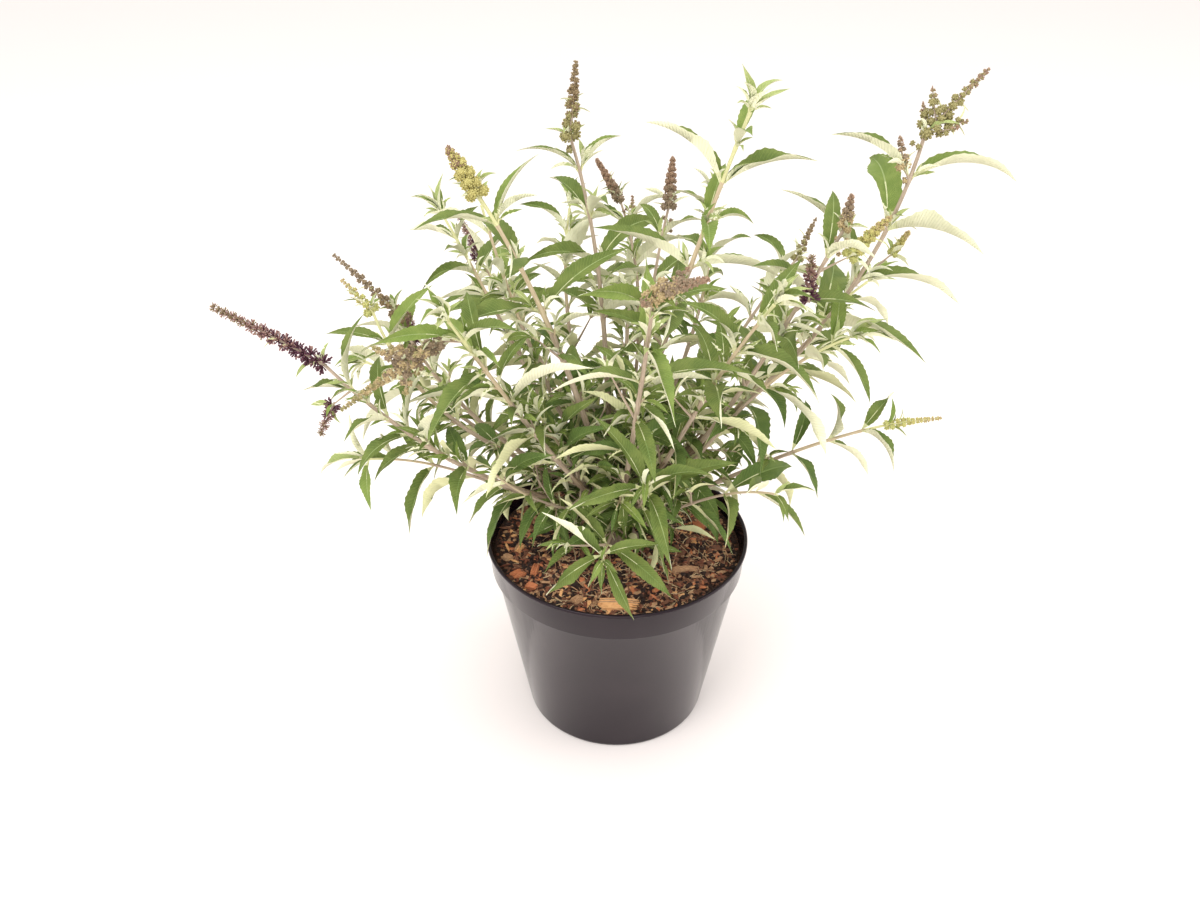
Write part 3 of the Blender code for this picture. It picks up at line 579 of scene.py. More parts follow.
def sweep(points: Array, radii: Array, sides: int, dress: list[Dress] | Dress,
          relief: Array | float = 1.0) -> Patch:
    """Draw a closed tube along a line, without twist.

    Args:
        points: the line's points.
        radii: the radius at each of them.
        sides: corners round the tube.
        dress: one finish, or one for each ring.
        relief: a factor on the radius at each ring and corner.

    Returns:
        Its skin. The UV runs round and along it in millimetres.
    """
    runs = unit(np.gradient(points, axis=0))
    guide = np.array([1.0, 0, 0]) if abs(runs[0][0]) < 0.8 else np.array([0, 1.0, 0])
    first = np.array([guide := unit(guide - run * (guide @ run)) for run in runs])
    cos, sin = circle(sides)
    out = first[:, None] * cos[None, :, None] + np.cross(runs, first)[:, None] * sin[None, :, None]
    rings = points[:, None] + out * (radii[:, None] * np.ones(sides) * relief)[:, :, None]
    along = np.concatenate([[0], np.cumsum(np.linalg.norm(np.diff(points, axis=0), axis=1))])
    around = np.arange(sides) * FULL_TURN / sides * radii.mean()
    uv = np.stack(np.broadcast_arrays(around[None, :], along[:, None]), axis=-1)
    rows = [dress] * len(points) if isinstance(dress, Dress) else list(dress)
    return loft(rings, points[0] - (points[1] - points[0]) * 0.02, points[-1] + (points[-1] - points[-2]) * 0.05,
                [row for row in [rows[0], *rows] for _ in range(sides)], uv)


def heading(azimuth: float, elevation: float = 0.0) -> Vector:
    """A unit vector from two angles in degrees."""
    across, up = math.radians(azimuth), math.radians(elevation)
    return Vector((math.cos(up) * math.cos(across), math.cos(up) * math.sin(across), math.sin(up)))


def square_to(vector: Vector, axis: Vector) -> Vector:
    """The unit vector nearest to the given one that stands square to an axis."""
    return (vector - vector.project(axis)).normalized()


def spun(vector: Vector, axis: Vector, degrees: float) -> Vector:
    """A vector turned round an axis."""
    return Matrix.Rotation(math.radians(degrees), 3, axis) @ vector


def radial_at(along: Vector, azimuth: float, turn: float) -> Vector:
    """A direction square to a stem, turned round it from the stem's sideways direction."""
    return spun(square_to(heading(azimuth + 90), along), along, turn)


@dataclass(frozen=True)
class Perch:
    """Where something grows: a point of a stem, the stem's direction, and the side of the stem."""

    root: Vector
    along: Vector
    radial: Vector

    def spun(self, degrees: float) -> "Perch":
        """The same point on a side further round the stem."""
        return replace(self, radial=spun(self.radial, self.along, degrees))

    def leaning(self, degrees: float) -> Vector:
        """The direction at an angle to the stem, towards this side."""
        angle = math.radians(degrees)
        return self.along * math.cos(angle) + self.radial * math.sin(angle)


class Path:
    """The curve that a stem follows, from its foot at 0 to its tip at 1."""

    PIECES = 24  # straight pieces by which the curve is measured

    def __init__(self, start: Vector, first: Vector, second: Vector, end: Vector) -> None:
        """Hold the curve's four control points and measure it."""
        self.points = (start, first, second, end)
        self.length = sum((self.at(k / self.PIECES) - self.at((k + 1) / self.PIECES)).length
                          for k in range(self.PIECES))

    def at(self, share: float) -> Vector:
        """The point at a share of the curve."""
        a, b, c, d, rest = *self.points, 1 - share
        return a * rest ** 3 + b * 3 * share * rest ** 2 + c * 3 * share ** 2 * rest + d * share ** 3

    def along(self, share: float) -> Vector:
        """The direction in which the curve runs there."""
        a, b, c, d, rest = *self.points, 1 - share
        return ((b - a) * rest ** 2 + (c - b) * 2 * share * rest + (d - c) * share ** 2).normalized()

    def perch(self, share: float, azimuth: float, turn: float) -> Perch:
        """The place at a share of the curve, on the side that radial_at finds."""
        along = self.along(share)
        return Perch(self.at(share), along, radial_at(along, azimuth, turn))

    def line(self, start: float, end: float, step: float) -> tuple[Array, Array]:
        """Shares and points along the curve between two shares, about a step apart."""
        shares = np.linspace(start, end, max(3, round(self.length * (end - start) / step) + 1))
        return shares, np.array([self.at(share) for share in shares])


def straight_path(start: Vector, direction: Vector, length: float, sag: float = 0.0) -> Path:
    """The curve of a short side shoot, whose tip sags by a share of its length."""
    fall = Vector((0, 0, -sag * length))
    return Path(start, start + direction * length / 3, start + direction * length * 2 / 3 + fall / 3,
                start + direction * length + fall)


@dataclass(frozen=True)
class Head:
    """A flower head: its length, the way it points, its girth, side heads, colours and buds."""

    length: float
    azimuth: float
    elevation: float
    girth: float = 3.2
    sides: int = 0
    tone: HeadTone = HeadTone.BROWN
    form: BudForm = BudForm.TUBE

    def aim(self) -> Vector:
        """The way it points."""
        return heading(self.azimuth, self.elevation)

    def bow(self, start: Vector) -> Path:
        """The curve of its stalk, which starts a little inside the stem's tip."""
        return straight_path(start - self.aim() * 1.5, self.aim(), self.length + 1.5, 0.06)


@dataclass(frozen=True)
class Shoot:
    """One shoot from the knuckle: where its tip stands, its bend and what grows on it."""

    name: str
    radius: float
    azimuth: float
    reach: float
    rise: float
    lift: float
    sway: float
    bare: float
    pairs: int
    leaf: float
    turn: float = 0.0
    head: Head | None = None
    forks: tuple = ()  # side heads: (share, azimuth, elevation, length, Head)
    axils: tuple = ()  # small heads in leaf axils, in the same form
    crowd: float = 1.2  # how much the pairs crowd towards the tip
    open_tip: float = 46.0  # angle between the stem and its last leaves

    def tip(self) -> Vector:
        """The top of the stem, where its head or its last leaves begin."""
        return heading(self.azimuth) * self.reach + Vector((0, 0, SOIL_LEVEL + self.rise))

    def is_sparse(self) -> bool:
        """Whether it is one of the low shoots of the front and sides, which bear few leaves."""
        return self.rise < 120.0 and self.azimuth < 40.0


TONE, FORM = HeadTone, BudForm
SHOOTS = (
    Shoot("front_tall", 2.3, -83, 126, 252, 0.05, 0.02, 0.36, 5, 66, 0,
          Head(64, -66, 32, 6.0, 2, TONE.TAWNY, FORM.BEAD)),
    Shoot("left_high", 2.7, -173, 86, 266, 0.07, 0.03, 0.38, 5, 66, 100,
          Head(38, -146, 62, 7.2, 0, TONE.GOLD, FORM.GRAIN)),
    Shoot("right_tall", 2.4, -23, 77, 320, 0.02, -0.04, 0.38, 7, 64, 20),
    Shoot("right_long", 2.5, 3, 182, 296, -0.13, -0.14, 0.36, 6, 88, 5,
          Head(54, 17, 47, 6.2, 4, TONE.OLIVE, FORM.BEAD),
          ((0.74, 20, 38, 34, Head(18, 20, 55, 3.6, 0, TONE.LIME, FORM.GRAIN)),),
          ((0.934, 170, 60, 9, Head(19, 150, 76, 5.0, 0, TONE.TAWNY, FORM.BEAD)),), open_tip=56),
    Shoot("right_heads", 2.3, -17, 135, 256, -0.05, -0.01, 0.38, 5, 60, 30,
          Head(24, -85, 75, 4.8, 0, TONE.TAWNY, FORM.GRAIN),
          ((0.80, -45, 50, 16, Head(32, -120, 82, 5.6, 0, TONE.PURPLE)),
           (0.9, 5, 30, 20, Head(34, 10, 48, 5.0, 0, TONE.LIME, FORM.GRAIN)))),
    Shoot("left_long", 2.4, -165, 188, 172, -0.02, 0.31, 0.40, 5, 58, 70,
          Head(77, 178, 34, 6.6, 0, TONE.PURPLE),
          ((0.93, -150, -25, 14, Head(20, -160, -60, 4.2, 0, TONE.PURPLE)),)),
    Shoot("left_leafy", 2.2, -145, 122, 211, -0.02, -0.02, 0.36, 5, 70, 40, None,
          ((0.93, 178, 2, 14, Head(70, -165, -28, 6.2, 6, TONE.TANGLED, FORM.BEAD)),)),
    Shoot("left_green", 2.1, -173, 156, 194, -0.18, 0.16, 0.42, 4, 54, 10,
          Head(28, 178, 54, 4.8, 0, TONE.LIME, FORM.BEAD)),
    Shoot("left_brown", 2.1, 165, 158, 166, -0.12, 0.12, 0.40, 4, 58, 80,
          Head(58, 166, 45, 5.4, 0, TONE.GREY, FORM.BEAD),
          ((0.86, 130, 50, 12, Head(22, 120, 70, 4.0, 0, TONE.PURPLE)),)),
    Shoot("tall_rear", 2.3, 122, 59, 283, 0.0, -0.08, 0.38, 5, 58, 0,
          Head(49, 20, 85, 7.0, 0, TONE.BROWN, FORM.BEAD)),
    Shoot("rear_bud", 1.9, 61, 69, 233, 0.07, 0.01, 0.38, 4, 54, 70,
          Head(36, 20, 87, 4.8, 0, TONE.RUSSET, FORM.GRAIN)),
    Shoot("rear_slim", 1.8, 89, 110, 221, 0.06, -0.14, 0.38, 5, 64, 0,
          Head(35, 150, 56, 4.2, 0, TONE.RUSSET, FORM.GRAIN)),
    Shoot("left_slim", 1.9, 153, 101, 240, -0.01, 0.08, 0.0, 6, 56, 35),
    Shoot("left_rear", 2.0, 141, 160, 214, -0.02, -0.02, 0.38, 5, 60, 80),
    Shoot("rear_leafy", 2.1, 105, 134, 208, -0.02, 0.12, 0.38, 5, 56, 0),
    Shoot("right_rear", 2.0, 60, 139, 221, 0.02, -0.14, 0.38, 5, 56, 55),
    Shoot("right_near", 2.1, -43, 117, 226, 0.03, -0.01, 0.38, 5, 60, 25),
    Shoot("right_star", 1.9, -16, 146, 186, 0.13, 0.02, 0.0, 5, 56, 60, crowd=1.8, open_tip=64),
    Shoot("right_low", 2.0, -10, 177, 118, 0.04, 0.03, 0.36, 5, 58, 20,
          Head(36, -8, 17, 4.2, 0, TONE.LIME, FORM.BEAD)),
    Shoot("right_back", 2.0, 22, 190, 175, 0.08, 0.0, 0.38, 5, 64, 75),
    Shoot("back_right", 2.1, 47, 205, 160, 0.08, 0.0, 0.38, 5, 64, 15,
          Head(38, 50, 50, 5.0, 0, TONE.BROWN, FORM.BEAD)),
    Shoot("back_mid", 2.2, 86, 200, 165, 0.08, 0.0, 0.38, 5, 64, 45,
          Head(30, 90, 55, 4.8, 0, TONE.OLIVE, FORM.BEAD)),
    Shoot("back_left", 2.1, 122, 205, 150, 0.08, 0.0, 0.38, 5, 64, 75,
          Head(40, 125, 45, 5.2, 0, TONE.PURPLE)),
    Shoot("left_back", 2.0, 156, 205, 105, 0.08, 0.0, 0.38, 5, 62, 36),
    Shoot("right_skirt", 1.5, -35, 121, 90, 0.10, 0.05, 0.0, 4, 62, 20),
    Shoot("left_low", 1.5, -159, 170, 111, 0.06, -0.12, 0.0, 5, 60, 50),
    Shoot("left_small", 1.3, -143, 101, 100, -0.10, 0.03, 0.0, 4, 40, 10),
    Shoot("front_star", 1.4, -97, 86, 49, 0.04, -0.01, 0.0, 4, 58, 40, crowd=2.6, open_tip=72),
    Shoot("front_fan", 1.4, -78, 77, 100, -0.02, 0.05, 0.0, 5, 66, 0, crowd=2.0, open_tip=62),
    Shoot("centre", 1.5, -70, 42, 165, 0.0, 0.0, 0.0, 7, 58, 30),
    Shoot("centre_left", 1.4, -150, 60, 125, 0.0, 0.0, 0.0, 6, 60, 70),
    Shoot("centre_right", 1.4, 10, 70, 135, 0.0, 0.0, 0.0, 6, 60, 0),
    Shoot("back_low", 1.4, 100, 125, 72, 0.08, 0.0, 0.0, 5, 58, 20),
    Shoot("back_low_right", 1.4, 45, 122, 66, 0.08, 0.0, 0.0, 4, 58, 60),
    Shoot("back_low_left", 1.4, 152, 116, 60, 0.08, 0.0, 0.0, 4, 56, 40),
)


@dataclass(frozen=True)
class Knuckle:
    """The rounded top of the trunk, over which the shoots' feet are spread."""

    place: Pair = (2.0, 8.0)
    rise: float = 20.0
    radius: float = 12.0
    lowest: float = -0.12  # sine of the lowest angle at which a shoot leaves
    first_reach: float = 0.22  # share of a shoot's length that follows its seat's direction
    bend_at: float = 0.6  # share along the chord where lift and sway act
    margin: float = 0.1
    rounds: int = 400
    push_share: float = 0.4

    def centre(self) -> Vector:
        """The middle of the knuckle."""
        return Vector((*self.place, SOIL_LEVEL + self.rise))

    def seats(self) -> list[Vector]:
        """Spread the shoots' feet over the knuckle until no two of them touch.

        Returns:
            The direction from the knuckle's middle to each foot.
        """
        centre = self.centre()
        seats = [(shoot.tip() - centre).normalized() for shoot in SHOOTS]
        widths = [math.asin((shoot.radius + GAP + self.margin) / (self.radius + GAP)) for shoot in SHOOTS]
        for _ in range(self.rounds):
            for first, second in combinations(range(len(seats)), 2):
                short = widths[first] + widths[second] - seats[first].angle(seats[second])
                if short > 0:
                    push = (seats[first] - seats[second]).normalized() * short * self.push_share
                    seats[first] = (seats[first] + push).normalized()
                    seats[second] = (seats[second] - push).normalized()
            for seat in seats:
                seat.z = max(seat.z, self.lowest)
                seat.normalize()
        return seats

    def path(self, shoot: Shoot, seat: Vector) -> Path:
        """Run a shoot's curve, bent by its lift and sway.

        Args:
            shoot: the shoot.
            seat: the direction of its foot.

        Returns:
            The curve from its seat to its tip.
        """
        foot = self.centre() + seat * (self.radius + GAP)
        chord = shoot.tip() - foot
        sideways = heading(shoot.azimuth + 90)
        above = chord.cross(sideways).normalized()
        if above.z < 0:
            above.negate()
        bend = (above * shoot.lift + sideways * shoot.sway) * chord.length
        return Path(foot, foot + seat * chord.length * self.first_reach,
                    foot + chord * self.bend_at + bend, shoot.tip())


@dataclass(frozen=True)
class Blade:
    """A leaf's posture: its root, aim, bend towards one side, and sizes."""

    root: Vector
    aim: Vector
    down: Vector
    length: float
    droop: float
    tilt: float

    def spine(self, share: float) -> Vector:
        """The point of the midrib at a share of the length."""
        bend, bent = math.radians(self.droop), math.radians(self.droop) * share
        return self.root + (self.aim * (math.sin(bent) / bend)
                            + self.down * ((1 - math.cos(bent)) / bend)) * self.length

    def sides(self, share: float) -> tuple[Vector, Vector]:
        """Find how the blade lies at a share of its length.

        Args:
            share: how far along the leaf.

        Returns:
            The directions across the blade and out of its upper face.
        """
        bent = math.radians(self.droop) * share
        onward = self.aim * math.cos(bent) + self.down * math.sin(bent)
        upward = self.aim * math.sin(bent) - self.down * math.cos(bent)
        return spun(onward.cross(upward), onward, self.tilt), spun(upward, onward, self.tilt)

    def arched(self, lift: float) -> "Blade":
        """The same leaf with the same tip, rising more at its root and bending more.

        Args:
            lift: how far its aim is raised, in degrees.

        Returns:
            The arched leaf.
        """
        raise_by = math.radians(lift)
        aim = self.aim * math.cos(raise_by) - self.down * math.sin(raise_by)
        down = self.down * math.cos(raise_by) + self.aim * math.sin(raise_by)
        old, new = math.radians(self.droop) / 2, math.radians(self.droop) / 2 + raise_by
        length = self.length * (math.sin(old) / old) / (math.sin(new) / new)
        return replace(self, aim=aim, down=down, droop=self.droop + 2 * lift, length=length)


Solid = tuple[BVHTree, Vector, float]


class Space:
    """What already stands in the crown, so that nothing grows through it."""

    def __init__(self) -> None:
        """Start with nothing in the way."""
        self.taken: list[tuple[str, Solid, Solid]] = []

    @staticmethod
    def solid(points: list[Vector] | Array, faces: list[tuple[int, ...]]) -> Solid:
        """The search tree of a shape, with the middle and radius of its bounding ball."""
        middle = sum((spots := [Vector(point) for point in points]), Vector()) / len(points)
        return BVHTree.FromPolygons(spots, faces), middle, max((spot - middle).length for spot in spots)

    def take(self, owner: str, whole: Solid, outer: Solid | None = None) -> None:
        """Note a mass's shape, and the part of it that the mass itself must keep clear of."""
        self.taken.append((owner, whole, outer or whole))

    def is_clear(self, owner: str, whole: Solid, own: Solid | None) -> bool:
        """Test a shape against what stands in the crown.

        Args:
            owner: the mass that it belongs to.
            whole: the shape, which must clear the other masses.
            own: what of it must clear its own mass, if any.

        Returns:
            Whether it is clear.
        """
        for other, full, outer in self.taken:
            mine, theirs = (own, outer) if other == owner else (whole, full)
            if mine is None or (mine[1] - theirs[1]).length > mine[2] + theirs[2]:
                continue
            if mine[0].overlap(theirs[0]):
                return False
        return True


@dataclass(frozen=True)
class LeafRule:
    """Where a leaf may stand: the source's sizes and its ways out of a taken place."""

    width: float = 0.25  # of the length, as the next three are
    thickness: float = 0.014
    widest: float = 0.42  # where along the blade it is widest
    outer_from: float = 0.22  # where the part starts that must clear its own mass
    fold: float = 0.26
    root_sink: float = 0.55
    droop: Pair = (14.0, 44.0)
    tilt: Pair = (-24.0, 24.0)
    clearance: float = 0.45
    smallest: float = 13.0
    above_soil: float = 4.0
    tries: tuple = (  # turn round the stem, further opening, and share of the length
        (0.0, 0.0, 1.0), (20.0, -8.0, 1.0), (-20.0, -8.0, 1.0), (38.0, 6.0, 0.92), (-38.0, -16.0, 0.88),
        (55.0, -20.0, 0.8), (-60.0, 10.0, 0.7))
    faces: tuple = ((0, 2, 4), (0, 4, 3), (0, 3, 5), (0, 5, 2), (1, 4, 2), (1, 3, 4), (1, 5, 3), (1, 2, 5))

    def solid(self, blade: Blade, start: float = 0.0, swell: float = 0.0) -> Solid:
        """Form the source's eight-faced leaf.

        Args:
            blade: the leaf's posture.
            start: the share of its length at which the form starts.
            swell: what is added on all sides.

        Returns:
            The solid.
        """
        across, upward = blade.sides(self.widest)
        middle = blade.spine(self.widest)
        half = blade.length * self.width / 2 + swell
        lifted = upward * half * 2 * self.fold
        root, tip = blade.spine(start), blade.spine(1.0)
        onward = (tip - root).normalized()
        points = [root - onward * swell, tip + onward * swell,
                  middle + across * half + lifted, middle - across * half + lifted,
                  middle + upward * swell, middle - upward * (blade.length * self.thickness + swell)]
        return Space.solid(points, list(self.faces))

    def above_compost(self, blade: Blade) -> bool:
        """Whether a leaf stays above the compost and out of the pot's wall."""
        spots = [blade.spine(share) for share in (0.4, 0.7, 1.0)]
        return all(math.hypot(spot.x, spot.y) >= POT_RIM_RADIUS or spot.z >= SOIL_LEVEL + self.above_soil
                   for spot in spots)

    def place(self, owner: str, space: Space, perch: Perch, length: float, spread: float,
              rng: random.Random, radius: float) -> Blade | None:
        """Find a clear posture for a leaf.

        Args:
            owner: the mass that it belongs to.
            space: what already stands in the crown.
            perch: where it grows.
            length: its length.
            spread: its angle to the stem in degrees.
            rng: the mass's random numbers.
            radius: the stem's radius.

        Returns:
            Its posture, or nothing where none fits.
        """
        droop, tilt = rng.uniform(*self.droop), rng.uniform(*self.tilt)
        for turn, open_by, size in self.tries:
            aim = perch.spun(turn).leaning(spread + open_by)
            down = square_to(Vector((0, 0, -0.8)) - perch.along * 0.6, aim)
            blade = Blade(perch.root - aim * radius * self.root_sink, aim, down, length * size, droop, tilt)
            if blade.length < self.smallest or not self.above_compost(blade):
                continue
            whole = self.solid(blade, 0.0, self.clearance)
            if space.is_clear(owner, whole, self.solid(blade, self.outer_from, self.clearance)):
                space.take(owner, self.solid(blade), self.solid(blade, self.outer_from))
                return blade
        return None


@dataclass(frozen=True)
class LeafCut:
    """How finely a leaf's mesh is cut."""

    stretches: int
    columns: tuple[float, ...]  # places across the upper face, in half widths
    tooth: float  # how far a tooth stands out, in half widths
    quilt: float  # how far the blade puffs up between side veins, in millimetres
    stalk_share: float = 0.14  # the pale share of the length at the foot
    rib_share: float = 0.42  # the share along which the midrib stays pale

    def dress(self, tone: LeafTone) -> list[Dress]:
        """Deal out a leaf's finishes.

        Args:
            tone: its upper face, midrib and underside.

        Returns:
            The finish of every face from its foot to its tip.
        """
        face, rib, under = tone.value
        middle = [max(abs(a), abs(b)) < 0.2 for a, b in zip(self.columns, self.columns[1:])]
        rows: list[Dress] = []
        for row in range(self.stretches):
            share = row / self.stretches
            if share < self.stalk_share:
                rows += [Dress.RIB_CREAM] * (len(middle) + 2)
                continue
            line = Dress.RIB_CREAM if share < self.rib_share else rib
            rows += [line if strip else face for strip in middle] + [under, under]
        return rows


LARGE_CUT = LeafCut(28, (-1.0, -0.5, -0.05, 0.05, 0.5, 1.0), 0.05, 0.15)
MIDDLE_CUT = LeafCut(13, (-1.0, -0.5, -0.06, 0.06, 0.5, 1.0), 0.03, 0.08)
SMALL_CUT = LeafCut(7, (-1.0, 0.0, 1.0), 0.02, 0.0)
BRACT_CUT = LeafCut(5, (-1.0, 0.0, 1.0), 0.0, 0.0)


@dataclass(frozen=True)
class LeafLook:
    """How a leaf departs from its plain posture."""

    tone: LeafTone
    cut: LeafCut
    width: float = 0.23
    fold: float = 0.30
    lift: float = 14.0
    twist: float = 0.0
    sway: float = 0.0
    wave: float = 0.03
    petiole: float = 0.05
    rise: float = 1.2  # how slowly the outline opens from its foot
    fall: float = 1.6  # how slowly it closes to its tip

    def outline(self, shares: Array) -> Array:
        """Draw a leaf's outline.

        Args:
            shares: places along its length, from 0 to 1.

        Returns:
            The half width at each of them, from 0 to 1.
        """
        blade = np.clip((shares - self.petiole) / (1 - self.petiole), 0.0, 1.0)
        peak = self.rise / (self.rise + self.fall)
        highest = peak ** self.rise * (1 - peak) ** self.fall
        return blade ** self.rise * (1 - blade) ** self.fall / highest

    def patch(self, blade: Blade) -> Patch:
        """Form the leaf's closed skin.

        Args:
            blade: the leaf's posture by the growth rule.

        Returns:
            Its skin: a folded, toothed and twisted upper face with an underside.
        """
        posed = blade.arched(self.lift)
        aim, down, root = (np.array(v) for v in (posed.aim, posed.down, posed.root))
        shares = np.linspace(0.0, 1.0, self.cut.stretches + 1)
        bend, length = math.radians(posed.droop), posed.length
        bent = bend * shares
        cos, sin = np.cos(bent)[:, None], np.sin(bent)[:, None]
        spine = root + (aim * sin + down * (1 - cos)) * (length / bend)
        onward = aim * cos + down * sin
        upward = aim * sin - down * cos
        side = np.cross(onward, upward)
        roll = np.radians(posed.tilt + self.twist * np.clip(shares * 1.3 - 0.15, 0, 1) ** 1.3)[:, None]
        across = side * np.cos(roll) - upward * np.sin(roll)
        upward = upward * np.cos(roll) + side * np.sin(roll)
        spine = spine + across[:1] * (self.sway * length * shares ** 2)[:, None]
        ticks = (-1.0) ** np.arange(len(shares))
        stalk = max(0.42, 0.013 * length)
        full = length * self.width / 2
        form = self.outline(shares)
        half = stalk * (1 - shares ** 3) + (full - stalk * 0.5) * form
        half = (half * (1 + self.cut.tooth * ticks * (form > 0.2)))[:, None]
        columns = np.array(self.cut.columns)
        lay = np.abs(columns)[None, :]
        fold = self.fold * (1.2 - 0.55 * shares)[:, None]
        ripple = self.wave * half * np.sin(shares * 15.0 + self.twist)[:, None] * columns
        rise = half * (np.sin(fold) * lay + 0.24 * lay * (1 - lay)) + ripple
        puff = self.cut.quilt * (ticks * form)[:, None] * np.isclose(lay, 0.5)
        sunk = -0.1 * (lay < 0.2) * (len(columns) > 3)
        upper = (spine[:, None] + across[:, None] * (half * columns * np.cos(fold))[:, :, None]
                 + upward[:, None] * (rise + puff + sunk)[:, :, None])
        keel = 0.32 + 0.5 * stalk * (1 - shares) ** 1.5 + 0.008 * length * form
        lower = spine - upward * keel[:, None]
        rings = np.concatenate([upper, lower[:, None]], axis=1)[1:-1]
        spread = np.concatenate([half * columns, np.zeros((len(shares), 1))], axis=1)
        uv = np.stack(np.broadcast_arrays(spread, (shares * length)[:, None]), axis=-1)[1:-1]
        return loft(rings, spine[0], spine[-1], self.cut.dress(self.tone), uv)


class Sector(Enum):
    """A quarter of the crown, by the azimuths at which it starts and ends."""

    FRONT = (-135.0, -45.0)
    RIGHT = (-45.0, 45.0)
    BACK = (45.0, 135.0)
    LEFT = (135.0, 225.0)

    @classmethod
    def of(cls, azimuth: float) -> "Sector":
        """The quarter that an azimuth lies in."""
        turned = (azimuth + 135.0) % 360.0 - 135.0
        return next(sector for sector in cls if sector.value[0] <= turned < sector.value[1])


def by_sector(kind: str) -> dict[Sector, Shell]:
    """An empty shell of one kind for each quarter of the crown."""
    return {sector: Shell(f"{kind}_{sector.name.lower()}") for sector in Sector}


@dataclass
class Cuttings:
    """The shells that the growing plant fills."""

    leaves: dict[Sector, Shell] = field(default_factory=partial(by_sector, "leaves"))
    small: dict[Sector, Shell] = field(default_factory=partial(by_sector, "small_leaves"))
    buds: dict[Sector, Shell] = field(default_factory=partial(by_sector, "flower_buds"))
    twigs: Shell = field(default_factory=partial(Shell, "twigs"))
    boughs: Shell = field(default_factory=partial(Shell, "trunk_and_boughs"))


@dataclass(frozen=True)
class Node:
    """A place on a stem where a pair of leaves grows."""

    path: Path
    share: float
    radius: float
    turn: float
    age: float  # 0 for the oldest growth low down, 1 for the youngest


